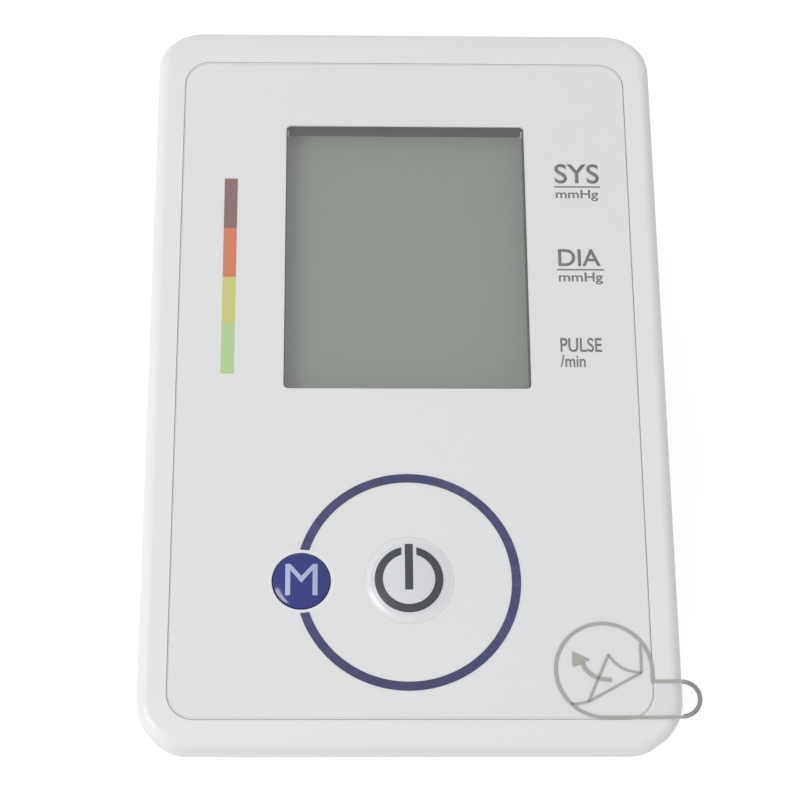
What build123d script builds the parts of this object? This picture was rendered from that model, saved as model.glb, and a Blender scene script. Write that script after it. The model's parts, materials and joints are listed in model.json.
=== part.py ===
"""An upper arm blood pressure monitor, lying face up on its four feet.

The housing is a wedge: a front cover and a tapered rear cover that meet at a
parting plane. The front carries a display window, a raised power key, a round
memory key and a flush overlay under a peel-off film. Inside are the display,
the circuit board with two key switches, an air pump, a release valve, a
pressure sensor, the air fittings and four AA cells behind a hinged door.

Two sets of axes are used. FACE axes belong to the front: u to the right, v
towards the display end, w out of the face, with w = 0 on its flat. BASE axes
belong to the table: x as u, y towards the display end, z up from the table.
"""

from build123d import *
from math import cos, radians, sin, sqrt, tan
import os

# Stance of the whole device
WEDGE_ANGLE = 5.0           # the face leans towards the user by this much
FACE_HEIGHT = 40.0          # table to the middle of the face
BASE_HEIGHT = 1.2           # table to the underside of the rear cover

# Housing outline and walls
CASE_WIDTH = 100.6
CASE_LENGTH = 150.4
CASE_CORNER = 9.0
WALL = 2.2
EDGE_ROUND = 2.4            # round of the front cover's top edge
END_ROLL = 22.0             # slope that the face reaches at each end, degrees
WIDEST_DEPTH = 4.6          # depth under the face where the housing is widest
PARTING_DEPTH = 12.0        # depth where the two covers meet
PARTING_INSET = 0.8         # how far the front cover has drawn in by there
DEEP_MARGIN = 0.47          # how far the construction outline lies under the base
SIDE_INSET = 5.8            # how far that deep outline lies inside the parting line
LOW_END_INSET = 9.6
HIGH_END_INSET = 4.6
DEEP_CORNER = 7.0
BASE_WALL = 2.4
BASE_ROUND = 2.6
LIP_HEIGHT = 1.6            # tongue of the rear cover inside the front cover
LIP_WALL = 0.9
FIT = 0.15                  # clearance between parts that meet but don't slide

# Overlay, window and film on the face
OVERLAY_SIDE = 5.7          # side of the case to the overlay's edge
OVERLAY_ENDS = 13.4         # both ends of the case that the overlay leaves bare
OVERLAY_CORNER = 5.0
OVERLAY_V = -1.6            # the overlay's middle, along the face
OVERLAY_THICKNESS = 0.4
WINDOW_WIDTH = 48.0
WINDOW_LENGTH = 57.4
WINDOW_CORNER = 0.9
WINDOW_END_GAP = 51.5       # middle of the window to the display end of the case
LENS_MARGIN = 2.0           # how far the lens runs under the overlay
LENS_THICKNESS = 1.3
FILM_THICKNESS = 0.15
FILM_HOLE_MARGIN = 0.9      # film opening round each key
TAB_REACH = 3.1             # how far the film's pull tab ends past the side
TAB_END_GAP = 3.7           # overlay's low end to the tab's middle
TAB_WIDTH = 6.6

# Display stack, as depths under the face
LCD_DEPTH = 4.2
LCD_THICKNESS = 2.8
LCD_MARGIN = 1.4            # how far the glass runs past the window
BOARD_DEPTH = 9.4
BOARD_THICKNESS = 1.6
BOARD_SIDE = 9.3            # side of the case to the board's edge
BOARD_END = 18.7            # end of the case to the board's end
BOARD_V = 1.5
HOLDER_WALL = 1.6
ZEBRA_WIDTH = 2.2
BOARD_SCREW_SIDE = 5.0      # board's edge to its screws
BOARD_SCREW_END = 6.5
BOARD_BOSS_RADIUS = 3.0

# Keys and their switches
POWER_U = -0.1
POWER_END_GAP = 31.55       # power key's centre to the user's end of the case
POWER_RADIUS = 7.5
POWER_CROWN = 1.1           # how far the power key's dome stands proud
MEMORY_U = -20.2
MEMORY_DROP = 0.2           # how far the memory key sits below the power key
MEMORY_RADIUS = 5.35
MEMORY_CROWN = 0.9
KEY_PROUD = 0.25            # straight side of a key above the face
KEY_SHOULDER = 0.35
KEY_CLEARANCE = 0.2
KEY_TRAVEL = 0.4            # how far a key goes in
KEY_FLANGE = 1.5            # how far the flange runs past the key
KEY_FLANGE_THICKNESS = 0.9
KEY_POST_RADIUS = 2.0
KEY_LUG = 2.4               # lug that keeps the key from turning
SWITCH_SIZE = 6.0
SWITCH_HEIGHT = 3.5
SWITCH_CHAMFER = 0.5
SWITCH_FLOOR = 0.6
SWITCH_LEG = 1.0            # how far a leg stands out
SWITCH_LEG_V = 2.2
SWITCH_LEG_WIDTH = 0.7
SWITCH_LEG_THICKNESS = 0.3
PLUNGER_RADIUS = 1.7
PLUNGER_SPARE = 0.5         # what still stands proud of a plunger when it is pressed
PLUNGER_DEPTH = 1.8
PLUNGER_CLEARANCE = 0.06

# Case screws and feet
CASE_SCREW_SIDE = 13.3      # side of the case to the case screws
CASE_SCREW_HIGH_END = 12.2
CASE_SCREW_LOW_END = 15.2
CASE_BOSS_RADIUS = 3.4
SCREW_RADIUS = 1.25
SCREW_HEAD_RADIUS = 2.4
SCREW_HEAD_HEIGHT = 1.8
CROSS_LENGTH = 2.6          # recess for the screwdriver
CROSS_WIDTH = 0.6
CROSS_DEPTH = 1.1
SCREW_SINK = 7.0            # depth of the case screws' counterbores
SCREW_BITE = 7.0            # depth of the case screws' pilot holes
BOARD_SCREW_BITE = 5.0
THREAD_GAP = 0.05           # radial gap of a pilot hole round the plain screw
FOOT_SIDE = 13.3            # side of the case to a foot's centre
FOOT_HIGH_END = 25.2
FOOT_LOW_END = 32.2
FOOT_RADIUS = 4.5
FOOT_SEAT = 0.8             # depth of the foot's recess

# Battery bay, in BASE axes
CELL_RADIUS = 7.25
CELL_LENGTH = 49.5
NUB_RADIUS = 2.75
NUB_LENGTH = 1.0
CELL_GAP = 0.3
CELL_CHAMFER = 0.5
CELL_RIB_WIDTH = 1.2        # ribs between the cells, under the bay's roof
CELL_RIB_HEIGHT = 3.6
CONTACT_ROOM = 3.0          # spring room at each end of a cell
LEAD_INSET = 4.0            # bay's wall to the leads to the board
LEAD_RADIUS = 0.7
LEAD_GAP = 0.1
BAY_END_GAP = 7.7           # display end of the case to the bay's inner face
BAY_HEADROOM = 1.2          # room above the cells
BAY_WALL = 1.6
BAY_ROOF = 1.6
DOOR_THICKNESS = 1.8
DOOR_LEDGE = 1.3            # how far the door runs under the bay's walls
HINGE_TAB_U = 18.0
HINGE_TAB_WIDTH = 8.0
HINGE_TAB_THICKNESS = 1.2
HINGE_TAB_REACH = 2.4
HINGE_SLOT_SPARE = 0.5
HINGE_SLOT_HEIGHT = 3.0     # slot in the bay's wall that a hinge tab goes through
THUMB_RADIUS = 5.4          # scoop beside the door's latch
THUMB_DROP = 4.0
LATCH_WIDTH = 14.0
LATCH_HEIGHT = 1.9
CONTACT_THICKNESS = 0.4
CONTACT_WIDTH = 10.0
CONTACT_LOW = 4.0           # how far a contact reaches below the cell's axis
CONTACT_HIGH = 5.5
LEAF_WIDTH = 4.0
LEAF_ROOT = 3.2             # where the sprung leaf leaves its plate, below the axis
LEAF_TOUCH_LOW = 0.2
LEAF_TOUCH_HIGH = 1.4
LEAF_END = 4.2
LEAF_RETURN = 1.2           # how near the leaf's end comes back to the wall
LATCH_THICKNESS = 1.2
GRIP_RIBS = 5
GRIP_PITCH = 1.6
GRIP_GROOVE = 0.7
GRIP_DEPTH = 0.4
GRIP_START = 4.0            # door's end to the first groove
DOOR_CORNER = 1.5
TAB_RISER = 1.4             # thickness of a hinge tab's riser
TAB_ROOT = 0.5              # how far tabs and tongue run into what they grow from

# Parts on the back of the board: u, v, width, length and height of each
CONTROLLER = (6.0, 36.0, 12.0, 12.0, 1.4)
MEMORY_CHIP = (24.0, 34.0, 5.0, 4.0, 1.4)
REGULATOR = (-22.0, 44.0, 6.5, 5.5, 1.8)
PUMP_PLUG = (27.0, -3.0, 8.0, 4.5, 4.5)
CELL_PLUG = (-14.0, 5.0, 10.0, 4.5, 4.5)
CAPACITOR_SIDE = 10.0       # board's edge to the capacitors
CAPACITOR_V = (-18.0, -27.0)
CAPACITOR_RADIUS = 3.15
CAPACITOR_HEIGHT = 7.0
BUZZER_U = 22.0
BUZZER_V = -42.0
BUZZER_RADIUS = 6.0
BUZZER_HEIGHT = 5.5
BUZZER_HOLE = 1.0
BUZZER_DEPTH = 2.0

# Air system, in BASE axes
PUMP_Y = -17.0
PUMP_Z = 15.6
PUMP_HEAD_RADIUS = 10.6
PUMP_HEAD_LENGTH = 17.0
PUMP_HEAD_CHAMFER = 0.8
SEAM_DEPTH = 0.6            # seams between the head's three stacked bodies
SEAM_WIDTH = 0.7
MOTOR_RADIUS = 9.8
MOTOR_CHAMFER = 1.5
BEARING_RADIUS = 3.0
BEARING_LENGTH = 1.5
TERMINAL_REACH = 3.0
TERMINAL_OFFSET = 6.0       # pump's axis to each terminal
TERMINAL_WIDTH = 2.4
TERMINAL_THICKNESS = 0.5
PUMP_LEAD_RADIUS = 0.6
MOTOR_LENGTH = 25.0
PUMP_GAP = 4.4              # manifold to the pump's head
CUSHION_THICKNESS = 1.0
HEAD_CUSHION_INSET = 1.5    # head's end to its rubber sleeve
HEAD_CUSHION_LENGTH = 3.5
STRAP_INSET = 10.0          # motor's end to the strap
STRAP_WIDTH = 8.0
STRAP_FOOT = 6.0
STRAP_THICKNESS = 0.6
AIR_Y = -2.0                # axis of the air socket
AIR_Z = 15.0
SOCKET_BORE = 2.4
SOCKET_BORE_DEPTH = 10.0
SOCKET_RADIUS = 4.5
SOCKET_FLANGE_RADIUS = 6.2
SOCKET_FLANGE = 1.5
SEAL_THICKNESS = 0.8
INLET_RECESS = 3.4          # widest side of the case to the face of each side inlet
SEAT_RECESS = 6.7           # widest side of the case to the flat seat of the socket
SOCKET_TAIL_RADIUS = 3.6
SOCKET_END = 1.0            # solid end of the socket behind its bore
POCKET_RECESS = 4.1         # widest side to the flat floor of the pocket round an inlet
POCKET_RADIUS = 6.5
MANIFOLD_LENGTH = 11.0
MANIFOLD_SIZE = 9.0
NIPPLE_RADIUS = 1.3
NIPPLE_LENGTH = 3.5
PUMP_PORT_DROP = 4.0        # pump's axis to its outlet, towards the user
TUBE_BEND = 4.5             # radius of the pump tube's bend
TUBE_WALL = 0.9
TUBE_GAP = 0.05             # radial gap between a tube and the nipple inside it
AIR_PASSAGE = 0.7
VALVE_WIDTH = 11.0
VALVE_LENGTH = 16.0
VALVE_GAP = 27.5            # manifold to the valve, spanned by a tube
VALVE_ABOVE = 3.0           # top of the valve above the air axis
VALVE_STUD_RADIUS = 3.0     # end of the valve's coil
VALVE_STUD = 2.0
VALVE_STUD_HEIGHT = 6.5
VALVE_CHAMFER = 1.0
PORT_INSET = 2.8            # manifold's ends to its ports
SENSOR_SIZE = 8.0
SENSOR_HEIGHT = 3.2
SENSOR_PORT = 2.5           # length of the sensor's port
SENSOR_TUBE_GAP = 3.0       # port's end to the manifold's nipple, inside their tube
POST_WIDTH = 3.0            # post under the manifold
CRADLE_RIB = 1.6            # ribs that carry the pump and the inlet
SADDLE_HALF = 7.0           # half the length of a pump saddle
SADDLE_DROP = 3.0           # pump's axis to the top of its saddles

# Power inlet on the right side, in BASE axes
JACK_Y = -0.7
JACK_Z = 15.0
JACK_LENGTH = 14.0
JACK_WIDTH = 9.0
JACK_HEIGHT = 11.0
JACK_GRIP = 2.5             # how high the ribs of its cradle hold the inlet
JACK_BARREL_LENGTH = 3.4
JACK_BARREL_RADIUS = 3.9
JACK_BORE = 2.75
JACK_PIN_RADIUS = 1.0
JACK_DEPTH = 9.0

# Places that follow from the values above
LEAN = radians(WEDGE_ANGLE)
DEEP_DEPTH = (FACE_HEIGHT - BASE_HEIGHT + CASE_LENGTH / 2 * sin(LEAN)) / cos(LEAN) + DEEP_MARGIN
OVERLAY_WIDTH = CASE_WIDTH - 2 * OVERLAY_SIDE
OVERLAY_LENGTH = CASE_LENGTH - OVERLAY_ENDS
WINDOW_V = CASE_LENGTH / 2 - WINDOW_END_GAP
TAB_TIP_U = CASE_WIDTH / 2 + TAB_REACH
TAB_V = OVERLAY_V - OVERLAY_LENGTH / 2 + TAB_END_GAP
UNDERLAY = -OVERLAY_THICKNESS                       # w of the floor under the overlay
LENS_BACK = UNDERLAY - LENS_THICKNESS
BOARD_WIDTH = CASE_WIDTH - 2 * BOARD_SIDE
BOARD_LENGTH = CASE_LENGTH - 2 * BOARD_END
BOARD_BACK = BOARD_DEPTH + BOARD_THICKNESS
BOARD_SCREW_U = BOARD_WIDTH / 2 - BOARD_SCREW_SIDE
BOARD_SCREW_V = BOARD_LENGTH / 2 - BOARD_SCREW_END
CAPACITOR_U = BOARD_WIDTH / 2 - CAPACITOR_SIDE
POWER_V = POWER_END_GAP - CASE_LENGTH / 2
MEMORY_V = POWER_V - MEMORY_DROP
PLUNGER_PROUD = KEY_TRAVEL + PLUNGER_SPARE
CASE_SCREW_U = CASE_WIDTH / 2 - CASE_SCREW_SIDE
CASE_SCREW_HIGH_V = CASE_LENGTH / 2 - CASE_SCREW_HIGH_END
CASE_SCREW_LOW_V = CASE_SCREW_LOW_END - CASE_LENGTH / 2
FOOT_X = CASE_WIDTH / 2 - FOOT_SIDE
FOOT_HIGH_Y = CASE_LENGTH / 2 - FOOT_HIGH_END
FOOT_LOW_Y = FOOT_LOW_END - CASE_LENGTH / 2
FLOOR_Z = BASE_HEIGHT + BASE_WALL                   # inner floor of the rear cover
BAY_HALF_WIDTH = 2 * (2 * CELL_RADIUS) + 2.5 * CELL_GAP
BAY_HIGH_Y = CASE_LENGTH / 2 - BAY_END_GAP
BAY_LOW_Y = BAY_HIGH_Y - CELL_LENGTH - NUB_LENGTH - 2 * CONTACT_ROOM
BAY_FLOOR_Z = BASE_HEIGHT + DOOR_THICKNESS + FIT
CELL_Z = BAY_FLOOR_Z + CELL_GAP + CELL_RADIUS
BAY_TOP_Z = CELL_Z + CELL_RADIUS + BAY_HEADROOM
HINGE_Y = BAY_HIGH_Y + DOOR_LEDGE - DOOR_THICKNESS / 2 + FIT
HINGE_Z = BASE_HEIGHT + DOOR_THICKNESS / 2
DOOR_LOW_Y = BAY_LOW_Y - DOOR_LEDGE
SOCKET_FACE_X = INLET_RECESS - CASE_WIDTH / 2       # outer end of the socket, on the left
SOCKET_SEAT_X = SEAT_RECESS - CASE_WIDTH / 2        # flat inner face of the wall's boss
POCKET_X = CASE_WIDTH / 2 - POCKET_RECESS
MANIFOLD_X = SOCKET_FACE_X + SOCKET_BORE_DEPTH + SOCKET_END + MANIFOLD_LENGTH / 2
PUMP_LEFT_X = MANIFOLD_X + MANIFOLD_LENGTH / 2 + PUMP_GAP
MOTOR_X = PUMP_LEFT_X + PUMP_HEAD_LENGTH
MOTOR_END_X = MOTOR_X + MOTOR_LENGTH
VALVE_X = MANIFOLD_X - MANIFOLD_LENGTH / 2 + PORT_INSET
VALVE_END_Y = AIR_Y - MANIFOLD_SIZE / 2 - VALVE_GAP
JACK_FACE_X = CASE_WIDTH / 2 - INLET_RECESS
JACK_BACK_X = JACK_FACE_X - JACK_BARREL_LENGTH
PLACE_X = -TAB_REACH / 2                            # centres the box round the tab too

TILT = Location((0, 0, FACE_HEIGHT), (WEDGE_ANGLE, 0, 0))
SEAT = Location((PLACE_X, 0, 0))


def on_face(u, v, depth=0.0):
    """A plane parallel to the face, with its origin at (u, v) and this depth."""
    return Plane(origin=(u, v, -depth))


def face_outline(width, length, corner, depth, v=0.0):
    """A rounded rectangle parallel to the face."""
    return on_face(0, v, depth) * RectangleRounded(width, length, corner)


def block(low, high):
    """A box between two corners."""
    size = [b - a for a, b in zip(low, high)]
    middle = [(a + b) / 2 for a, b in zip(low, high)]
    return Pos(*middle) * Box(*size)


def rod(start, direction, radius, length):
    """A round bar that starts at a point and runs along a direction."""
    return extrude(Plane(origin=start, z_dir=direction) * Circle(radius), length)


def tube(start, direction, radius, bore, length):
    """A round bar with a hole along it."""
    return extrude(Plane(origin=start, z_dir=direction) * (Circle(radius) - Circle(bore)), length)


def group(pieces):
    """Separate solids that share one node."""
    return Compound([solid for piece in pieces for solid in piece.solids()])


def screw(head_bottom, direction, length):
    """A pan-head screw; the direction runs from its head to its point."""
    back = [-c for c in direction]
    head = rod(head_bottom, back, SCREW_HEAD_RADIUS, SCREW_HEAD_HEIGHT)
    rim = head.faces().sort_by(Axis(head_bottom, back))[-1].edges()
    head = chamfer(rim, SCREW_HEAD_HEIGHT / 3)
    top = Plane(origin=[p + b * SCREW_HEAD_HEIGHT for p, b in zip(head_bottom, back)], z_dir=direction)
    cross = Rectangle(CROSS_LENGTH, CROSS_WIDTH) + Rectangle(CROSS_WIDTH, CROSS_LENGTH)
    head -= extrude(top * cross, CROSS_DEPTH)
    return head + rod(head_bottom, direction, SCREW_RADIUS, length)


def base_w(v, above=0.0):
    """The w of the base plane, raised by some amount, under a point of the face."""
    return (BASE_HEIGHT + above - FACE_HEIGHT - v * sin(LEAN)) / cos(LEAN)


def face_roll(depth):
    """A bar with the side profile of the face: flat, then rolling down at each end."""
    half = CASE_LENGTH / 2
    lean = radians(END_ROLL)
    high_flat = OVERLAY_V + OVERLAY_LENGTH / 2
    low_flat = OVERLAY_V - OVERLAY_LENGTH / 2
    high_radius = (half - high_flat) / sin(lean)
    low_radius = (half + low_flat) / sin(lean)
    top = -depth
    outline = Polyline(
        (low_flat - low_radius * sin(lean), top - low_radius * (1 - cos(lean))),
        (-half, -2 * PARTING_DEPTH - depth),
        (half, -2 * PARTING_DEPTH - depth),
        (high_flat + high_radius * sin(lean), top - high_radius * (1 - cos(lean))),
    )
    high_end = ThreePointArc(
        outline @ 1,
        (high_flat + high_radius * sin(lean / 2), top - high_radius * (1 - cos(lean / 2))),
        (high_flat, top),
    )
    flat = Line((high_flat, top), (low_flat, top))
    low_end = ThreePointArc(
        (low_flat, top),
        (low_flat - low_radius * sin(lean / 2), top - low_radius * (1 - cos(lean / 2))),
        outline @ 0,
    )
    profile = make_face([outline, high_end, flat, low_end])
    return extrude(Plane.YZ * profile, CASE_WIDTH, both=True)


def skirt(inset):
    """The front cover's sides below its widest line, drawing in to the parting plane."""
    top = face_outline(CASE_WIDTH - 2 * inset, CASE_LENGTH - 2 * inset, CASE_CORNER - inset, WIDEST_DEPTH)
    low = inset + PARTING_INSET
    bottom = face_outline(
        CASE_WIDTH - 2 * low, CASE_LENGTH - 2 * low, CASE_CORNER - low, PARTING_DEPTH)
    return loft([bottom, top], ruled=True)


def front_shape(inset):
    """The front cover's outer form, or its hollow when inset by the wall."""
    crown = extrude(
        face_outline(CASE_WIDTH - 2 * inset, CASE_LENGTH - 2 * inset, CASE_CORNER - inset, WIDEST_DEPTH),
        WIDEST_DEPTH)
    crown &= face_roll(inset)
    if inset == 0:
        rim = crown.edges().filter_by(lambda e: e.center().Z > -WIDEST_DEPTH + EDGE_ROUND / 2)
        across = rim.filter_by(lambda e: abs(e.center().X) < 1 and abs(e.center().Y) < CASE_LENGTH / 2 - 1)
        crown = fillet([e for e in rim if e not in across], EDGE_ROUND)
    return crown + skirt(inset)


def rear_shape(inset, above):
    """The rear cover's outer form in BASE axes, or its hollow when inset by the wall."""
    width = CASE_WIDTH - 2 * PARTING_INSET
    length = CASE_LENGTH - 2 * PARTING_INSET
    corner = CASE_CORNER - PARTING_INSET - inset
    top = face_outline(width - 2 * inset, length - 2 * inset, corner, PARTING_DEPTH)
    deep = face_outline(
        width - 2 * (SIDE_INSET + inset),
        length - LOW_END_INSET - HIGH_END_INSET - 2 * inset,
        DEEP_CORNER - inset,
        DEEP_DEPTH,
        v=(LOW_END_INSET - HIGH_END_INSET) / 2)
    body = TILT * loft([deep, top], ruled=True)
    floor = BASE_HEIGHT + above
    body -= block((-CASE_WIDTH, -CASE_LENGTH, floor - CASE_LENGTH), (CASE_WIDTH, CASE_LENGTH, floor))
    return body


def case_screw_places():
    """Face positions of the four case screws."""
    return [(u, v) for v in (CASE_SCREW_LOW_V, CASE_SCREW_HIGH_V) for u in (-CASE_SCREW_U, CASE_SCREW_U)]


def board_screw_places():
    """Face positions of the four board screws."""
    return [(u, v) for v in (-BOARD_SCREW_V, BOARD_SCREW_V) for u in (-BOARD_SCREW_U, BOARD_SCREW_U)]


def key_places():
    """Centre and radius of each key."""
    return [(POWER_U, POWER_V, POWER_RADIUS), (MEMORY_U, MEMORY_V, MEMORY_RADIUS)]


def make_front_cover():
    """The white front cover with its window, key holes, bosses and light box."""
    cover = front_shape(0) - front_shape(WALL)

    overlay = face_outline(OVERLAY_WIDTH + 2 * FIT, OVERLAY_LENGTH + 2 * FIT, OVERLAY_CORNER + FIT,
                           OVERLAY_THICKNESS, OVERLAY_V)
    cover -= extrude(overlay, OVERLAY_THICKNESS)

    frame_width = WINDOW_WIDTH + 2 * LENS_MARGIN + 2 * HOLDER_WALL
    frame_length = WINDOW_LENGTH + 2 * LENS_MARGIN + 2 * HOLDER_WALL
    frame = face_outline(frame_width, frame_length, WINDOW_CORNER + HOLDER_WALL, LCD_DEPTH, WINDOW_V)
    cover += extrude(frame, LCD_DEPTH - WALL)
    lens_seat = face_outline(
        WINDOW_WIDTH + 2 * LENS_MARGIN + 2 * FIT, WINDOW_LENGTH + 2 * LENS_MARGIN + 2 * FIT,
        WINDOW_CORNER + FIT, -LENS_BACK, WINDOW_V)
    cover -= extrude(lens_seat, LENS_THICKNESS)
    window = face_outline(WINDOW_WIDTH, WINDOW_LENGTH, WINDOW_CORNER, LCD_DEPTH, WINDOW_V)
    cover -= extrude(window, LCD_DEPTH)

    for u, v, radius in key_places():
        cover -= rod((u, v, -LCD_DEPTH), (0, 0, 1), radius + KEY_CLEARANCE, LCD_DEPTH)
        lug_edge = radius + KEY_FLANGE + KEY_LUG
        for side in (-1, 1):
            rib_u = u + side * (KEY_LUG / 2 + KEY_CLEARANCE)
            cover += block(
                (min(rib_u, rib_u + side), v - lug_edge, -WALL - 2 * KEY_FLANGE_THICKNESS),
                (max(rib_u, rib_u + side), v - radius - KEY_FLANGE - KEY_CLEARANCE, -WALL))

    for u, v in board_screw_places():
        cover += rod((u, v, -BOARD_DEPTH), (0, 0, 1), BOARD_BOSS_RADIUS, BOARD_DEPTH - WALL)
        cover -= rod((u, v, -BOARD_DEPTH), (0, 0, 1), SCREW_RADIUS + THREAD_GAP, BOARD_SCREW_BITE + 0.5)

    for u, v in case_screw_places():
        cover += rod((u, v, -PARTING_DEPTH), (0, 0, 1), CASE_BOSS_RADIUS, PARTING_DEPTH - WALL)
        cover -= rod((u, v, -PARTING_DEPTH), (0, 0, 1), SCREW_RADIUS + THREAD_GAP, SCREW_BITE)
    return TILT * cover


def make_rear_cover():
    """The tapered rear cover with the battery bay, bosses and side openings."""
    cover = rear_shape(0, 0)
    bottom = cover.faces().sort_by(Axis.Z)[0].edges()
    cover = fillet(bottom, BASE_ROUND)
    cover -= rear_shape(WALL, BASE_WALL)

    width = CASE_WIDTH - 2 * (PARTING_INSET + WALL + FIT)
    length = CASE_LENGTH - 2 * (PARTING_INSET + WALL + FIT)
    corner = CASE_CORNER - PARTING_INSET - WALL - FIT
    lip = face_outline(width, length, corner, PARTING_DEPTH + LIP_HEIGHT)
    lip -= face_outline(
        width - 2 * LIP_WALL, length - 2 * LIP_WALL, corner - LIP_WALL, PARTING_DEPTH + LIP_HEIGHT)
    cover += TILT * extrude(lip, 2 * LIP_HEIGHT)

    bay_outside = block(
        (-BAY_HALF_WIDTH - BAY_WALL, BAY_LOW_Y - BAY_WALL, BASE_HEIGHT + BASE_WALL / 2),
        (BAY_HALF_WIDTH + BAY_WALL, BAY_HIGH_Y + BAY_WALL, BAY_TOP_Z + BAY_ROOF))
    bay_inside = block(
        (-BAY_HALF_WIDTH, BAY_LOW_Y, BASE_HEIGHT - 1), (BAY_HALF_WIDTH, BAY_HIGH_Y, BAY_TOP_Z))
    cover += bay_outside
    cover -= bay_inside
    door_recess = block(
        (-BAY_HALF_WIDTH - DOOR_LEDGE - FIT, DOOR_LOW_Y - FIT, BASE_HEIGHT - 1),
        (BAY_HALF_WIDTH + DOOR_LEDGE + FIT, HINGE_Y + DOOR_THICKNESS / 2 + FIT, BAY_FLOOR_Z))
    cover -= door_recess
    slot_end = BAY_HIGH_Y + BAY_WALL + HINGE_SLOT_SPARE
    for u in (-HINGE_TAB_U, HINGE_TAB_U):
        half = HINGE_TAB_WIDTH / 2 + 2 * FIT
        cover -= block((u - half, BAY_HIGH_Y - 1, BAY_FLOOR_Z - 1),
                       (u + half, slot_end, BAY_FLOOR_Z + HINGE_SLOT_HEIGHT))
    thumb = rod((-LATCH_WIDTH / 2, DOOR_LOW_Y - FIT, BASE_HEIGHT - THUMB_DROP), (1, 0, 0),
                THUMB_RADIUS, LATCH_WIDTH)
    cover -= thumb & block((-LATCH_WIDTH, DOOR_LOW_Y - THUMB_RADIUS, BASE_HEIGHT - 1),
                           (LATCH_WIDTH, DOOR_LOW_Y, BASE_HEIGHT + BASE_WALL))

    inner = rear_shape(WALL, BASE_WALL)
    for u, v in case_screw_places():
        w_low = base_w(v) - 1
        boss = rod((u, v, w_low), (0, 0, 1), CASE_BOSS_RADIUS, -PARTING_DEPTH - w_low)
        cover += (TILT * boss) & inner
        seat_w = base_w(v) + SCREW_SINK
        hole = rod((u, v, w_low), (0, 0, 1), SCREW_RADIUS + FIT, -w_low)
        sink = rod((u, v, w_low - 1), (0, 0, 1), SCREW_HEAD_RADIUS + FIT, seat_w - w_low + 1)
        cover -= TILT * (hole + sink)

    for x, y in foot_places():
        cover -= rod((x, y, BASE_HEIGHT), (0, 0, 1), FOOT_RADIUS, FOOT_SEAT)

    seat = rod((SOCKET_SEAT_X, AIR_Y, AIR_Z), (-1, 0, 0), SOCKET_FLANGE_RADIUS + 1, 6)
    cover += seat & rear_shape(WALL / 2, BASE_WALL)
    cover -= rod((SOCKET_SEAT_X + 1, AIR_Y, AIR_Z), (-1, 0, 0), SOCKET_RADIUS + FIT, 10)
    cover -= rod((JACK_FACE_X - 8, JACK_Y, JACK_Z), (1, 0, 0), JACK_BARREL_RADIUS + FIT, 12)
    cover -= rod((-POCKET_X, AIR_Y, AIR_Z), (-1, 0, 0), POCKET_RADIUS, 10)
    cover -= rod((POCKET_X, JACK_Y, JACK_Z), (1, 0, 0), POCKET_RADIUS, 10)

    root_z = BASE_HEIGHT + BASE_WALL / 2
    half_rib = CRADLE_RIB / 2
    for x, length, radius in cushion_places():
        middle = x + length / 2
        saddle = block((middle - half_rib, PUMP_Y - SADDLE_HALF, root_z),
                       (middle + half_rib, PUMP_Y + SADDLE_HALF, PUMP_Z - SADDLE_DROP))
        cover += saddle - rod((x, PUMP_Y, PUMP_Z), (1, 0, 0), radius + CUSHION_THICKNESS, length)

    for share in (0.25, 0.75):
        x = JACK_BACK_X - share * JACK_LENGTH
        half = JACK_WIDTH / 2 + FIT
        rib = block((x - half_rib, JACK_Y - half - CRADLE_RIB, root_z),
                    (x + half_rib, JACK_Y + half + CRADLE_RIB, JACK_Z - JACK_HEIGHT / 2 + JACK_GRIP))
        cover += rib - block((x - CRADLE_RIB, JACK_Y - half, JACK_Z - JACK_HEIGHT / 2),
                             (x + CRADLE_RIB, JACK_Y + half, JACK_Z))
    cover += block((MANIFOLD_X - POST_WIDTH / 2, AIR_Y - POST_WIDTH / 2, root_z),
                   (MANIFOLD_X + POST_WIDTH / 2, AIR_Y + POST_WIDTH / 2, AIR_Z - MANIFOLD_SIZE / 2))

    for i in (-1, 0, 1):
        x = i * (2 * CELL_RADIUS + CELL_GAP)
        cover += block((x - CELL_RIB_WIDTH / 2, BAY_LOW_Y, BAY_TOP_Z - CELL_RIB_HEIGHT),
                       (x + CELL_RIB_WIDTH / 2, BAY_HIGH_Y, BAY_TOP_Z))
    return cover


def foot_places():
    """Base positions of the four feet."""
    return [(x, y) for y in (FOOT_LOW_Y, FOOT_HIGH_Y) for x in (-FOOT_X, FOOT_X)]


def make_rubber_feet():
    """Four round feet seated in the underside."""
    feet = []
    for x, y in foot_places():
        foot = rod((x, y, 0), (0, 0, 1), FOOT_RADIUS - FIT, BASE_HEIGHT + FOOT_SEAT)
        feet.append(fillet(foot.faces().sort_by(Axis.Z)[0].edges(), 0.5))
    return group(feet)


def make_front_overlay():
    """The printed sheet that lies flush in the face, open over the window and keys."""
    sheet = extrude(
        face_outline(OVERLAY_WIDTH, OVERLAY_LENGTH, OVERLAY_CORNER, OVERLAY_THICKNESS, OVERLAY_V),
        OVERLAY_THICKNESS)
    sheet -= extrude(face_outline(WINDOW_WIDTH, WINDOW_LENGTH, WINDOW_CORNER, OVERLAY_THICKNESS, WINDOW_V),
                     OVERLAY_THICKNESS)
    for u, v, radius in key_places():
        sheet -= rod((u, v, -OVERLAY_THICKNESS), (0, 0, 1), radius + KEY_CLEARANCE, OVERLAY_THICKNESS)
    return TILT * sheet


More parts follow.
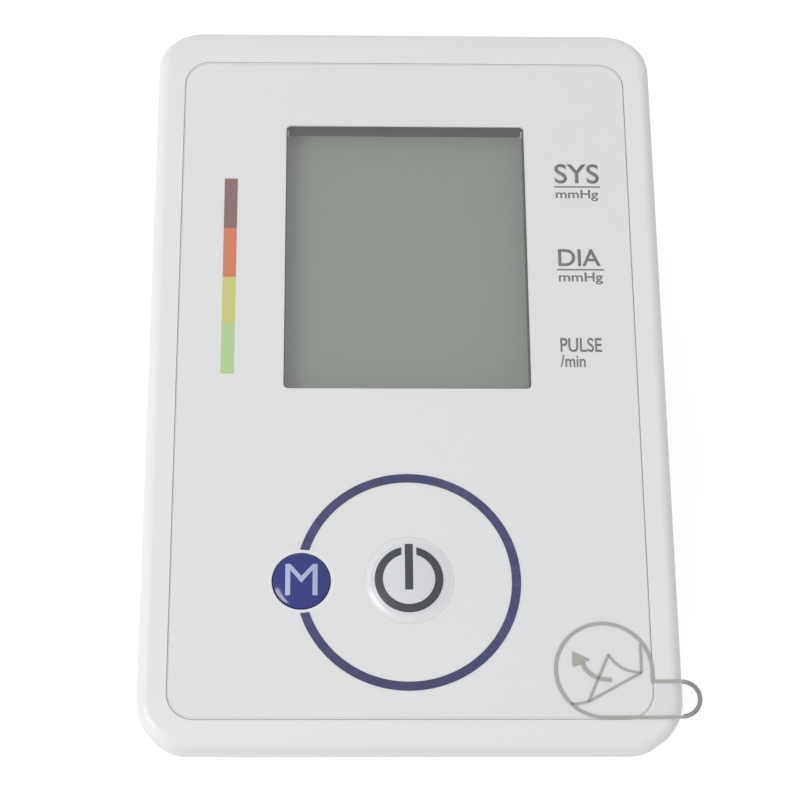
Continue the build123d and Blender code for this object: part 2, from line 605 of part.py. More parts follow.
def make_protective_film():
    """The clear film over the overlay, with a pull tab past the right side."""
    sheet = RectangleRounded(OVERLAY_WIDTH, OVERLAY_LENGTH, OVERLAY_CORNER)
    sheet = Pos(0, OVERLAY_V) * sheet
    tab_start = OVERLAY_WIDTH / 2 - 2 * TAB_WIDTH
    tab = Pos((tab_start + TAB_TIP_U) / 2, TAB_V) * SlotOverall(TAB_TIP_U - tab_start, TAB_WIDTH)
    sheet += tab
    for u, v, radius in key_places():
        sheet -= Pos(u, v) * Circle(radius + FILM_HOLE_MARGIN)
    return TILT * extrude(sheet, FILM_THICKNESS)


def make_display_lens():
    """The clear window, seated under the overlay."""
    lens = extrude(face_outline(WINDOW_WIDTH + 2 * LENS_MARGIN, WINDOW_LENGTH + 2 * LENS_MARGIN,
                                WINDOW_CORNER, -LENS_BACK, WINDOW_V), LENS_THICKNESS)
    return TILT * lens


def make_key(u, v, radius, crown):
    """A domed key with its flange, its anti-turn lug and the post to its switch."""
    flange_top = -WALL - FIT
    flange_low = flange_top - KEY_FLANGE_THICKNESS
    flange_edge = radius + KEY_FLANGE
    dome_radius = (radius ** 2 + crown ** 2) / (2 * crown)
    top = KEY_PROUD + crown
    halfway = (radius / 2, top - dome_radius + sqrt(dome_radius ** 2 - radius ** 2 / 4))
    profile = make_face([
        Line((0, flange_low), (flange_edge, flange_low)),
        Line((flange_edge, flange_low), (flange_edge, flange_top)),
        Line((flange_edge, flange_top), (radius, flange_top)),
        Line((radius, flange_top), (radius, KEY_PROUD)),
        ThreePointArc((radius, KEY_PROUD), halfway, (0, top)),
        Line((0, top), (0, flange_low)),
    ])
    key = revolve(Plane.XZ * profile, Axis.Z)
    circles = key.edges().filter_by(GeomType.CIRCLE)
    key = fillet(circles.filter_by(lambda e: abs(e.center().Z - KEY_PROUD) < 1e-3), KEY_SHOULDER)
    key += block((-KEY_LUG / 2, -flange_edge - KEY_LUG, flange_low), (KEY_LUG / 2, -radius, flange_top))
    post_bottom = -(BOARD_DEPTH - SWITCH_HEIGHT - PLUNGER_PROUD)
    key += rod((0, 0, post_bottom), (0, 0, 1), KEY_POST_RADIUS, flange_low - post_bottom)
    return TILT * (Pos(u, v, 0) * key)


def make_switch(u, v):
    """A tact switch body on the board, with the bore that its plunger runs in."""
    foot = -BOARD_DEPTH
    body = block((u - SWITCH_SIZE / 2, v - SWITCH_SIZE / 2, foot),
                 (u + SWITCH_SIZE / 2, v + SWITCH_SIZE / 2, foot + SWITCH_HEIGHT))
    body = chamfer(body.edges().filter_by(Axis.Z), SWITCH_CHAMFER)
    body -= rod((u, v, foot + SWITCH_FLOOR), (0, 0, 1), PLUNGER_RADIUS + PLUNGER_CLEARANCE, SWITCH_HEIGHT)
    reach = SWITCH_SIZE / 2 + SWITCH_LEG
    for along in (-SWITCH_LEG_V, SWITCH_LEG_V):
        leg = block((u - reach, v + along - SWITCH_LEG_WIDTH / 2, foot),
                    (u + reach, v + along + SWITCH_LEG_WIDTH / 2, foot + SWITCH_LEG_THICKNESS))
        body += leg
    return TILT * body


def make_plunger(u, v):
    """The switch's plunger, which the key's post presses."""
    top = -(BOARD_DEPTH - SWITCH_HEIGHT - PLUNGER_PROUD)
    length = PLUNGER_PROUD + PLUNGER_DEPTH
    return TILT * rod((u, v, top - length), (0, 0, 1), PLUNGER_RADIUS, length)


def make_lcd_panel():
    """The display glass: a front plate, and a rear plate that is longer at both ends."""
    width = WINDOW_WIDTH + 2 * LCD_MARGIN
    length = WINDOW_LENGTH + 2 * LCD_MARGIN
    half = LCD_THICKNESS / 2
    front = extrude(face_outline(width, length, 0.3, LCD_DEPTH + half, WINDOW_V), half)
    back = LCD_DEPTH + LCD_THICKNESS
    rear = extrude(face_outline(width, length - 2 * ZEBRA_WIDTH, 0.3, back, WINDOW_V), half)
    return TILT * (front + rear)


def make_lcd_holder():
    """The frame that holds the glass against the light box and stands on the board."""
    width = WINDOW_WIDTH + 2 * LCD_MARGIN + 2 * FIT
    length = WINDOW_LENGTH + 2 * LCD_MARGIN + 2 * FIT
    outer = face_outline(width + 2 * HOLDER_WALL, length + 2 * HOLDER_WALL, 1.5, BOARD_DEPTH, WINDOW_V)
    frame = extrude(outer, BOARD_DEPTH - LCD_DEPTH)
    frame -= extrude(face_outline(width, length, 0.4, LCD_DEPTH + LCD_THICKNESS, WINDOW_V), LCD_THICKNESS)
    opening = width - 2 * HOLDER_WALL
    frame -= extrude(
        face_outline(opening, length - 4 * ZEBRA_WIDTH - 1, 0.4, BOARD_DEPTH, WINDOW_V), BOARD_DEPTH)
    for end in (-1, 1):
        v = WINDOW_V + end * (length / 2 - ZEBRA_WIDTH / 2 - FIT)
        half = ZEBRA_WIDTH / 2 + FIT
        frame -= block((-opening / 2, v - half, -BOARD_DEPTH), (opening / 2, v + half, -LCD_DEPTH))
    return TILT * frame


def make_zebra_strips():
    """Two elastomer strips that join the glass's ledges to the board."""
    width = WINDOW_WIDTH - 1
    length = WINDOW_LENGTH + 2 * LCD_MARGIN
    strips = []
    for end in (-1, 1):
        v = WINDOW_V + end * (length / 2 - ZEBRA_WIDTH / 2)
        strips.append(TILT * block(
            (-width / 2, v - ZEBRA_WIDTH / 2 + FIT, -BOARD_DEPTH),
            (width / 2, v + ZEBRA_WIDTH / 2 - FIT, -LCD_DEPTH - LCD_THICKNESS / 2)))
    return group(strips)


def make_main_board():
    """The circuit board with its four screw holes."""
    board = extrude(face_outline(BOARD_WIDTH, BOARD_LENGTH, 2, BOARD_BACK, BOARD_V), BOARD_THICKNESS)
    for u, v in board_screw_places():
        board -= rod((u, v, -BOARD_BACK), (0, 0, 1), SCREW_RADIUS + FIT, BOARD_THICKNESS)
    return TILT * board


def make_board_screws():
    """Four screws that hold the board to the front cover's bosses."""
    return group([
        TILT * screw((u, v, -BOARD_BACK), (0, 0, 1), BOARD_THICKNESS + BOARD_SCREW_BITE)
        for u, v in board_screw_places()])


def make_case_screws():
    """Four screws that go up through the rear cover into the front cover."""
    screws = []
    for u, v in case_screw_places():
        seat = base_w(v) + SCREW_SINK
        screws.append(TILT * screw((u, v, seat), (0, 0, 1), -PARTING_DEPTH - seat + SCREW_BITE - 0.5))
    return group(screws)


def under_board(u, v, width, length, height):
    """A block on the board's underside."""
    return block((u - width / 2, v - length / 2, -BOARD_BACK - height),
                 (u + width / 2, v + length / 2, -BOARD_BACK))


def make_board_chips():
    """The controller, the memory chip, a regulator and two wire sockets."""
    return group([
        TILT * under_board(*place)
        for place in (CONTROLLER, MEMORY_CHIP, REGULATOR, PUMP_PLUG, CELL_PLUG)])


def make_capacitors():
    """Two can capacitors under the board."""
    cans = []
    for v in CAPACITOR_V:
        can = rod((CAPACITOR_U, v, -BOARD_BACK), (0, 0, -1), CAPACITOR_RADIUS, CAPACITOR_HEIGHT)
        cans.append(TILT * chamfer(can.faces().sort_by(Axis.Z)[0].edges(), CAPACITOR_RADIUS / 6))
    return group(cans)


def make_buzzer():
    """The round beeper under the board."""
    body = rod((BUZZER_U, BUZZER_V, -BOARD_BACK), (0, 0, -1), BUZZER_RADIUS, BUZZER_HEIGHT)
    body = chamfer(body.faces().sort_by(Axis.Z)[0].edges(), BUZZER_RADIUS / 8)
    body -= rod((BUZZER_U, BUZZER_V, -BOARD_BACK - BUZZER_HEIGHT), (0, 0, 1), BUZZER_HOLE, BUZZER_DEPTH)
    return TILT * body


def sensor_place():
    """Face position of the pressure sensor, above the manifold."""
    return MANIFOLD_X, AIR_Y * cos(LEAN) + (AIR_Z + MANIFOLD_SIZE - FACE_HEIGHT) * sin(LEAN)


def make_pressure_sensor():
    """The sensor under the board, with the port that faces the manifold."""
    u, v = sensor_place()
    body = under_board(u, v, SENSOR_SIZE, SENSOR_SIZE, SENSOR_HEIGHT)
    body += rod((u, v, -BOARD_BACK - SENSOR_HEIGHT), (0, 0, -1), NIPPLE_RADIUS, SENSOR_PORT)
    return TILT * body


def make_air_socket():
    """The push-in socket for the cuff's plug, flanged against the wall's boss."""
    face = (SOCKET_FACE_X, AIR_Y, AIR_Z)
    flange_x = SOCKET_SEAT_X + SEAL_THICKNESS
    length = SOCKET_BORE_DEPTH + SOCKET_END
    body = rod(face, (1, 0, 0), SOCKET_RADIUS, flange_x - SOCKET_FACE_X)
    body += rod((flange_x, AIR_Y, AIR_Z), (1, 0, 0), SOCKET_FLANGE_RADIUS, SOCKET_FLANGE)
    body += rod(face, (1, 0, 0), SOCKET_TAIL_RADIUS, length)
    body -= rod(face, (1, 0, 0), SOCKET_BORE, SOCKET_BORE_DEPTH)
    body -= rod(face, (1, 0, 0), 1.3 * AIR_PASSAGE, length)
    return body


def make_socket_seal():
    """The flat ring between the socket's flange and the wall's boss."""
    return tube((SOCKET_SEAT_X, AIR_Y, AIR_Z), (1, 0, 0),
                SOCKET_FLANGE_RADIUS, SOCKET_RADIUS + FIT, SEAL_THICKNESS)


def make_air_manifold():
    """The block behind the socket, with nipples for the pump, valve and sensor."""
    x, y, z = MANIFOLD_X, AIR_Y, AIR_Z
    half = MANIFOLD_LENGTH / 2
    side = MANIFOLD_SIZE / 2
    body = block((x - half, y - side, z - side), (x + half, y + side, z + side))
    body = chamfer(body.edges().filter_by(Axis.X), 0.8)
    for offset in (PORT_INSET - half, half - PORT_INSET):
        body += rod((x + offset, y - side, z), (0, -1, 0), NIPPLE_RADIUS, NIPPLE_LENGTH)
        body -= rod((x + offset, y, z), (0, -1, 0), AIR_PASSAGE, side + NIPPLE_LENGTH)
    body -= rod((x - half, y, z), (1, 0, 0), 1.3 * AIR_PASSAGE, MANIFOLD_LENGTH - 2)
    u, v = sensor_place()
    top_w = sensor_port_w() - SENSOR_TUBE_GAP
    body += TILT * rod((u, v, top_w), (0, 0, -1), NIPPLE_RADIUS, SENSOR_TUBE_GAP)
    return body


def sensor_port_w():
    """The w of the sensor port's open end."""
    return -BOARD_BACK - SENSOR_HEIGHT - SENSOR_PORT


def make_air_tubes():
    """Soft tubes from the manifold to the pump, the release valve and the sensor."""
    side = MANIFOLD_SIZE / 2
    bore = NIPPLE_RADIUS + TUBE_GAP
    outer = bore + TUBE_WALL
    ring = Circle(outer) - Circle(bore)
    start_y = AIR_Y - side
    tubes = [tube((VALVE_X, start_y, AIR_Z), (0, -1, 0), outer, bore, VALVE_GAP)]
    port_x = MANIFOLD_X + MANIFOLD_LENGTH / 2 - PORT_INSET
    port_y = PUMP_Y - PUMP_PORT_DROP
    route = FilletPolyline(
        (port_x, start_y, AIR_Z), (port_x, port_y, AIR_Z), (PUMP_LEFT_X, port_y, AIR_Z), radius=TUBE_BEND)
    tubes.append(sweep(Plane(origin=route @ 0, z_dir=route % 0) * ring, path=route))
    u, v = sensor_place()
    top = sensor_port_w() + SENSOR_PORT
    bottom = -(FACE_HEIGHT - AIR_Z - side) + 1.0
    tubes.append(TILT * tube((u, v, bottom), (0, 0, 1), outer, bore, top - bottom))
    return group(tubes)


def make_pump_head():
    """The diaphragm pump's head, with its outlet nipple and valve cap."""
    head = rod((PUMP_LEFT_X, PUMP_Y, PUMP_Z), (1, 0, 0), PUMP_HEAD_RADIUS, PUMP_HEAD_LENGTH)
    head = chamfer(head.edges().filter_by(GeomType.CIRCLE), PUMP_HEAD_CHAMFER)
    for depth in (PUMP_HEAD_LENGTH / 3, PUMP_HEAD_LENGTH * 2 / 3):
        groove = tube((PUMP_LEFT_X + depth, PUMP_Y, PUMP_Z), (1, 0, 0),
                      PUMP_HEAD_RADIUS + 1, PUMP_HEAD_RADIUS - SEAM_DEPTH, SEAM_WIDTH)
        head -= groove
    port_y = PUMP_Y - PUMP_PORT_DROP
    head += rod((PUMP_LEFT_X, port_y, AIR_Z), (-1, 0, 0), NIPPLE_RADIUS, NIPPLE_LENGTH)
    head -= rod((PUMP_LEFT_X + NIPPLE_LENGTH, port_y, AIR_Z), (-1, 0, 0), AIR_PASSAGE, 2 * NIPPLE_LENGTH)
    return head


def make_pump_motor():
    """The motor can, with its end bearing boss and two terminals."""
    can = rod((MOTOR_X, PUMP_Y, PUMP_Z), (1, 0, 0), MOTOR_RADIUS, MOTOR_LENGTH)
    can = chamfer(can.faces().sort_by(Axis.X)[-1].edges(), MOTOR_CHAMFER)
    can += rod((MOTOR_END_X, PUMP_Y, PUMP_Z), (1, 0, 0), BEARING_RADIUS, BEARING_LENGTH)
    for side in (-1, 1):
        y = PUMP_Y + side * TERMINAL_OFFSET
        low_y, high_y = y - TERMINAL_WIDTH / 2, y + TERMINAL_WIDTH / 2
        can += block((MOTOR_END_X - TAB_ROOT, low_y, PUMP_Z - TERMINAL_THICKNESS / 2),
                     (MOTOR_END_X + TERMINAL_REACH, high_y, PUMP_Z + TERMINAL_THICKNESS / 2))
    return can


def cushion_places():
    """Start, length and bore of the two rubber sleeves round the pump."""
    return [(PUMP_LEFT_X + HEAD_CUSHION_INSET, HEAD_CUSHION_LENGTH, PUMP_HEAD_RADIUS),
            (MOTOR_END_X - STRAP_INSET, STRAP_WIDTH, MOTOR_RADIUS)]


def make_pump_cushions():
    """Two rubber sleeves that keep the pump's hum off the housing."""
    return group([
        tube((x, PUMP_Y, PUMP_Z), (1, 0, 0), bore + CUSHION_THICKNESS, bore, length)
        for x, length, bore in cushion_places()])


def make_pump_strap():
    """A steel strap over the motor's cushion, with feet on the rear cover."""
    inner = MOTOR_RADIUS + CUSHION_THICKNESS
    outer = inner + STRAP_THICKNESS
    hoop = Circle(outer) - Circle(inner)
    hoop &= Pos(0, outer / 2) * Rectangle(2 * outer, outer)
    profile = hoop
    for side in (-1, 1):
        height = PUMP_Z - FLOOR_Z
        leg = Pos(side * (inner + STRAP_THICKNESS / 2), -height / 2) * Rectangle(STRAP_THICKNESS, height)
        foot_middle = Pos(side * (inner + STRAP_FOOT / 2), STRAP_THICKNESS / 2 - height)
        profile += leg + foot_middle * Rectangle(STRAP_FOOT, STRAP_THICKNESS)
    plane = Plane(origin=(MOTOR_END_X - STRAP_INSET, PUMP_Y, PUMP_Z), x_dir=(0, 1, 0), z_dir=(1, 0, 0))
    return extrude(plane * profile, STRAP_WIDTH)


def make_release_valve():
    """The solenoid valve that lets the cuff's air out, standing on the rear cover."""
    low_y = VALVE_END_Y - VALVE_LENGTH
    half = VALVE_WIDTH / 2
    body = block((VALVE_X - half, low_y, FLOOR_Z), (VALVE_X + half, VALVE_END_Y, AIR_Z + VALVE_ABOVE))
    body = chamfer(body.edges().filter_by(Axis.Y), VALVE_CHAMFER)
    body += rod((VALVE_X, low_y, FLOOR_Z + VALVE_STUD_HEIGHT), (0, -1, 0), VALVE_STUD_RADIUS, VALVE_STUD)
    body += rod((VALVE_X, VALVE_END_Y, AIR_Z), (0, 1, 0), NIPPLE_RADIUS, NIPPLE_LENGTH)
    body -= rod((VALVE_X, VALVE_END_Y - NIPPLE_LENGTH, AIR_Z), (0, 1, 0), AIR_PASSAGE, 2 * NIPPLE_LENGTH)
    return body


def make_dc_jack():
    """The adaptor inlet on the right side, with its centre pin."""
    body = block((JACK_BACK_X - JACK_LENGTH, JACK_Y - JACK_WIDTH / 2, JACK_Z - JACK_HEIGHT / 2),
                 (JACK_BACK_X, JACK_Y + JACK_WIDTH / 2, JACK_Z + JACK_HEIGHT / 2))
    body += rod((JACK_BACK_X, JACK_Y, JACK_Z), (1, 0, 0), JACK_BARREL_RADIUS, JACK_BARREL_LENGTH)
    body -= tube((JACK_FACE_X, JACK_Y, JACK_Z), (-1, 0, 0), JACK_BORE, JACK_PIN_RADIUS, JACK_DEPTH)
    return body


def cell_places():
    """Middle of each cell, and which way its nub points."""
    pitch = 2 * CELL_RADIUS + CELL_GAP
    return [((i - 1.5) * pitch, 1 if i % 2 == 0 else -1) for i in range(4)]


def make_battery_cells():
    """Four AA cells side by side, turned end for end in turn."""
    cells = []
    middle = (BAY_LOW_Y + BAY_HIGH_Y) / 2
    for x, way in cell_places():
        start = middle - way * (CELL_LENGTH + NUB_LENGTH) / 2
        cell = rod((x, start, CELL_Z), (0, way, 0), CELL_RADIUS, CELL_LENGTH)
        cell = chamfer(cell.edges().filter_by(GeomType.CIRCLE), CELL_CHAMFER)
        cell += rod((x, start + way * CELL_LENGTH, CELL_Z), (0, way, 0), NUB_RADIUS, NUB_LENGTH)
        cells.append(cell)
    return group(cells)


def make_battery_contacts():
    """Sprung leaf contacts on the two end walls, one behind each end of a cell."""
    leaves = []
    for x, _ in cell_places():
        for wall_y, inward in ((BAY_LOW_Y, 1), (BAY_HIGH_Y, -1)):
            low, high = sorted((wall_y, wall_y + inward * CONTACT_THICKNESS))
            plate = block((x - CONTACT_WIDTH / 2, low, CELL_Z - CONTACT_LOW),
                          (x + CONTACT_WIDTH / 2, high, CELL_Z + CONTACT_HIGH))
            touch = wall_y + inward * (CONTACT_ROOM - CONTACT_THICKNESS)
            line = Polyline(
                (wall_y + inward * CONTACT_THICKNESS / 2, CELL_Z - LEAF_ROOT),
                (touch, CELL_Z - LEAF_TOUCH_LOW),
                (touch, CELL_Z + LEAF_TOUCH_HIGH),
                (wall_y + inward * LEAF_RETURN, CELL_Z + LEAF_END))
            side = Plane(origin=(x, 0, 0), x_dir=(0, 1, 0), z_dir=(1, 0, 0))
            leaves.append(plate + extrude(side * trace(line, CONTACT_THICKNESS), LEAF_WIDTH / 2, both=True))
    return group(leaves)


def make_battery_door():
    """The door in the underside: round hinge edge, two tabs, a tongue and grip grooves."""
    half = BAY_HALF_WIDTH + DOOR_LEDGE
    inside = BASE_HEIGHT + DOOR_THICKNESS
    plate = block((-half, DOOR_LOW_Y, BASE_HEIGHT), (half, HINGE_Y, inside))
    plate = fillet(plate.edges().filter_by(Axis.Z).sort_by(Axis.Y)[:2], DOOR_CORNER)
    plate += rod((-half, HINGE_Y, HINGE_Z), (1, 0, 0), DOOR_THICKNESS / 2, 2 * half)
    tab_z = FLOOR_Z + FIT
    tab_top = tab_z + HINGE_TAB_THICKNESS
    riser_y = BAY_HIGH_Y - 2 * FIT
    for u in (-HINGE_TAB_U, HINGE_TAB_U):
        low, high = u - HINGE_TAB_WIDTH / 2, u + HINGE_TAB_WIDTH / 2
        plate += block((low, riser_y - TAB_RISER, inside - TAB_ROOT), (high, riser_y, tab_top))
        plate += block((low, riser_y - TAB_ROOT, tab_z), (high, HINGE_Y + HINGE_TAB_REACH, tab_top))
    tongue_y = BAY_LOW_Y + 2 * FIT
    plate += block((-LATCH_WIDTH / 2, tongue_y, inside - TAB_ROOT),
                   (LATCH_WIDTH / 2, tongue_y + LATCH_THICKNESS, inside + LATCH_HEIGHT))
    for i in range(GRIP_RIBS):
        y = DOOR_LOW_Y + GRIP_START + GRIP_PITCH * i
        plate -= block((-LATCH_WIDTH / 2, y, BASE_HEIGHT - 1),
                       (LATCH_WIDTH / 2, y + GRIP_GROOVE, BASE_HEIGHT + GRIP_DEPTH))
    return plate


def board_underside_z(y):
    """How high the board's underside is above a place on the table."""
    return FACE_HEIGHT - BOARD_BACK / cos(LEAN) + y * tan(LEAN)


def make_pump_leads():
    """Two wires from the motor's terminals up to the board."""
    x = MOTOR_END_X + TERMINAL_REACH / 2
    low = PUMP_Z + TERMINAL_THICKNESS / 2
    wires = []
    for side in (-1, 1):
        y = PUMP_Y + side * TERMINAL_OFFSET
        wires.append(rod((x, y, low), (0, 0, 1), PUMP_LEAD_RADIUS, board_underside_z(y) - low - LEAD_GAP))
    return group(wires)


def make_battery_leads():
    """Two wires from the bay's roof up to the board, under its plug."""
    y = BAY_LOW_Y + LEAD_INSET
    low = BAY_TOP_Z + BAY_ROOF
    wires = []
    for side in (-1, 1):
        x = CELL_PLUG[0] + side * CELL_PLUG[2] / 4
        wires.append(rod((x, y, low), (0, 0, 1), LEAD_RADIUS, board_underside_z(y) - low - LEAD_GAP))
    return group(wires)


PIECES = {
    "front_cover": make_front_cover,
    "rear_cover": make_rear_cover,
    "front_overlay": make_front_overlay,
    "protective_film": make_protective_film,
    "display_lens": make_display_lens,
    "power_button": lambda: make_key(POWER_U, POWER_V, POWER_RADIUS, POWER_CROWN),
    "memory_button": lambda: make_key(MEMORY_U, MEMORY_V, MEMORY_RADIUS, MEMORY_CROWN),
    "power_switch": lambda: make_switch(POWER_U, POWER_V),
    "power_switch_plunger": lambda: make_plunger(POWER_U, POWER_V),
    "memory_switch": lambda: make_switch(MEMORY_U, MEMORY_V),
    "memory_switch_plunger": lambda: make_plunger(MEMORY_U, MEMORY_V),
    "lcd_panel": make_lcd_panel,
    "lcd_holder": make_lcd_holder,
    "zebra_strips": make_zebra_strips,
    "main_board": make_main_board,
    "board_screws": make_board_screws,
    "board_chips": make_board_chips,
    "capacitors": make_capacitors,
    "buzzer": make_buzzer,
    "pressure_sensor": make_pressure_sensor,
    "pump_motor": make_pump_motor,
    "pump_head": make_pump_head,
    "pump_cushions": make_pump_cushions,
    "pump_strap": make_pump_strap,
    "release_valve": make_release_valve,
    "air_manifold": make_air_manifold,
    "air_tubes": make_air_tubes,
    "air_socket": make_air_socket,
    "socket_seal": make_socket_seal,
    "dc_jack": make_dc_jack,
    "battery_cells": make_battery_cells,
    "battery_contacts": make_battery_contacts,
    "battery_door": make_battery_door,
    "case_screws": make_case_screws,
    "rubber_feet": make_rubber_feet,
    "pump_leads": make_pump_leads,
    "battery_leads": make_battery_leads,
}

os.makedirs("parts", exist_ok=True)
for name, make in PIECES.items():
    piece = make()
    export_step(SEAT * piece, f"parts/{name}.step")
    print(name, round(piece.volume, 1))
print("hinge axis of the door at y, z:", round(HINGE_Y, 3), round(HINGE_Z, 3))
print("the housing's middle plane is at x:", round(PLACE_X, 3))
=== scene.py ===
# %% [markdown]
# # Dressing an upper arm blood pressure monitor
#
# The construction of the monitor is loaded as a fixed frame: every cover, key, chip and
# screw is already there at its real size. This notebook gives each of them its finish, adds
# the thin things that are drawn or laid on the face, and sets up the camera and light for a
# photograph of the result. The real object is white moulded plastic with a printed sheet in
# its face and a clear film on that.

# %% Load the frame
import bpy
import bmesh
import json
from math import acos, atan2, cos, hypot, pi, radians, sin, sqrt
from mathutils import Matrix, Vector


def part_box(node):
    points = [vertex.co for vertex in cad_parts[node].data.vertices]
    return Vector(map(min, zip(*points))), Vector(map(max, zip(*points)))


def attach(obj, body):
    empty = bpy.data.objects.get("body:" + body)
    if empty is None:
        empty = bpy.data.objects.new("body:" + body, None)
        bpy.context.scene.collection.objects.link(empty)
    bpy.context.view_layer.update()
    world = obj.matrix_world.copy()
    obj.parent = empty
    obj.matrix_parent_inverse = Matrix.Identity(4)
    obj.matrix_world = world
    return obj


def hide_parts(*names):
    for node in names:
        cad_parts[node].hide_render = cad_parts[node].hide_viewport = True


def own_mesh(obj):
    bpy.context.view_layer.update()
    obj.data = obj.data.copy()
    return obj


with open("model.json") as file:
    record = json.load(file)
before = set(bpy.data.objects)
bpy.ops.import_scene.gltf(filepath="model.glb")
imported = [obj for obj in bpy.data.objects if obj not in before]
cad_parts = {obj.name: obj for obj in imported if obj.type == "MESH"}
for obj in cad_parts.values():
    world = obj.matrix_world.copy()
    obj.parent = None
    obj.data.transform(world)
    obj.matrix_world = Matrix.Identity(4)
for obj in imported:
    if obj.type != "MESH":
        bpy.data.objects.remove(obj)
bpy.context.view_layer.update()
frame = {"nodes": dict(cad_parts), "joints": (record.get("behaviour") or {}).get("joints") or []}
NODES = frame["nodes"]
MM = 0.001

# %% [markdown]
# ## The face is a plane of its own
#
# The housing is a wedge, so its face leans towards the user. Everything printed on the face
# is easiest to place in the face's own axes: u to the right, v towards the display, w out of
# the face. The power key slides straight into the face, so its axis gives the lean, and the
# printed sheet gives the height and the middle.

# %% Face axes
press = next(j for j in frame["joints"] if j["name"] == "power_press")
FACE_OUT = -Vector(press["axis"]).normalized()
FACE_RIGHT = Vector((1, 0, 0))
FACE_UP = FACE_OUT.cross(FACE_RIGHT)
sheet_low, sheet_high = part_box("front_overlay")
face_level = max(v.co.dot(FACE_OUT) for v in NODES["front_overlay"].data.vertices)
FACE = Matrix((FACE_RIGHT, FACE_UP, FACE_OUT)).transposed().to_4x4()
FACE.translation = ((sheet_low.x + sheet_high.x) / 2, 0, face_level / FACE_OUT.z)
print("face leans", round(FACE_OUT.y / FACE_OUT.z, 4), "and is at", FACE.translation[:])

# %% [markdown]
# ## The camera
#
# The photograph was taken by hand with an ordinary lens, from above the user's edge, a
# little to the left and turned a touch clockwise. The camera is placed in the face's axes,
# because the face is what its view was worked out from.

# %% Camera
CAMERA_PLACE = (-13.638, -169.471, 403.506)
CAMERA_AIM = (-1.482, -6.347, 0)
CAMERA_ROLL = -0.472
CAMERA_LENS = 101.54
SENSOR_WIDTH = 36
CLIP_START = 0.01


def on_face(u, v, w=0.0):
    """A place given in the face's axes, in millimetres, as a point of the frame."""
    return FACE @ Vector((u * MM, v * MM, w * MM))


def make_camera():
    """The camera at the photograph's place, with no shift and no depth of field."""
    data = bpy.data.cameras.new("camera")
    data.lens = CAMERA_LENS
    data.sensor_width = SENSOR_WIDTH
    data.clip_start = CLIP_START
    camera = bpy.data.objects.new("camera", data)
    bpy.context.scene.collection.objects.link(camera)
    place = on_face(*CAMERA_PLACE)
    back = (place - on_face(*CAMERA_AIM)).normalized()
    right = FACE_UP.cross(back).normalized()
    up = back.cross(right)
    turned = right * cos(radians(CAMERA_ROLL)) + up * sin(radians(CAMERA_ROLL))
    camera.matrix_world = Matrix((turned, back.cross(turned), back)).transposed().to_4x4()
    camera.matrix_world.translation = place
    bpy.context.scene.camera = camera
    return camera


camera = make_camera()
print("camera at", [round(c / MM, 1) for c in camera.matrix_world.translation])

# %% [markdown]
# ## Light and floor
#
# White plastic looks like itself only under plain light. A pale world lights it from all
# round, and one wide lamp on the left, where the window was, gives the shapes their light
# and dark sides. Two or three lamps would be the usual studio way, but their highlights would
# show in the domed keys, and the photograph has none. The floor is pale, and it is lifted to
# the photograph's white only where the camera sees it: no lamp is turned up for it, so the
# white of the plastic keeps its own tone.

# %% Light
WORLD_LEVEL = 0.64
WINDOW_PLACE = (-900, -380, 1080)
WINDOW_SIZE = 700
WINDOW_WATTS = 9.5
ROOM_COLOUR = (0.98, 0.99, 1.0, 1)
WINDOW_COLOUR = (1.0, 0.995, 0.985)


def node_tree(owner):
    """The owner's node tree, switched on and emptied."""
    owner.use_nodes = True
    tree = owner.node_tree
    tree.nodes.clear()
    return tree


def add(tree, kind, **values):
    """One node of the kind, with its settings and its inputs' values by name."""
    node = tree.nodes.new(kind)
    for key, value in values.items():
        if hasattr(node, key):
            setattr(node, key, value)
        else:
            node.inputs[key.replace("_", " ")].default_value = value
    return node


def make_world():
    """A pale room that lights evenly, and is seen as white behind the object."""
    world = bpy.data.worlds.new("pale_room")
    bpy.context.scene.world = world
    tree = node_tree(world)
    light_path = add(tree, "ShaderNodeLightPath")
    seen = add(tree, "ShaderNodeMath", operation="MAXIMUM")
    tree.links.new(light_path.outputs["Is Camera Ray"], seen.inputs[0])
    tree.links.new(light_path.outputs["Is Transmission Ray"], seen.inputs[1])
    room = add(tree, "ShaderNodeBackground", Strength=WORLD_LEVEL)
    room.inputs["Color"].default_value = ROOM_COLOUR
    white = add(tree, "ShaderNodeBackground", Strength=1.0)
    both = add(tree, "ShaderNodeMixShader")
    tree.links.new(seen.outputs[0], both.inputs["Fac"])
    tree.links.new(room.outputs[0], both.inputs[1])
    tree.links.new(white.outputs[0], both.inputs[2])
    output = add(tree, "ShaderNodeOutputWorld")
    tree.links.new(both.outputs[0], output.inputs["Surface"])


def make_lamp(name, place, size, watts, colour):
    """A square lamp at a place in millimetres, turned to the middle of the object."""
    data = bpy.data.lights.new(name, "AREA")
    data.size = size * MM
    data.energy = watts
    data.color = colour
    lamp = bpy.data.objects.new(name, data)
    bpy.context.scene.collection.objects.link(lamp)
    lamp.location = Vector(place) * MM
    lamp.rotation_euler = (-lamp.location).to_track_quat("-Z", "Y").to_euler()


make_world()
make_lamp("window", WINDOW_PLACE, WINDOW_SIZE, WINDOW_WATTS, WINDOW_COLOUR)
print("world level", WORLD_LEVEL, "and window of", WINDOW_WATTS, "W")

# %% Floor
FLOOR_SIZE = 4.0
FLOOR_COLOUR = (0.94, 0.94, 0.94, 1)
FLOOR_LIFT = 0.45


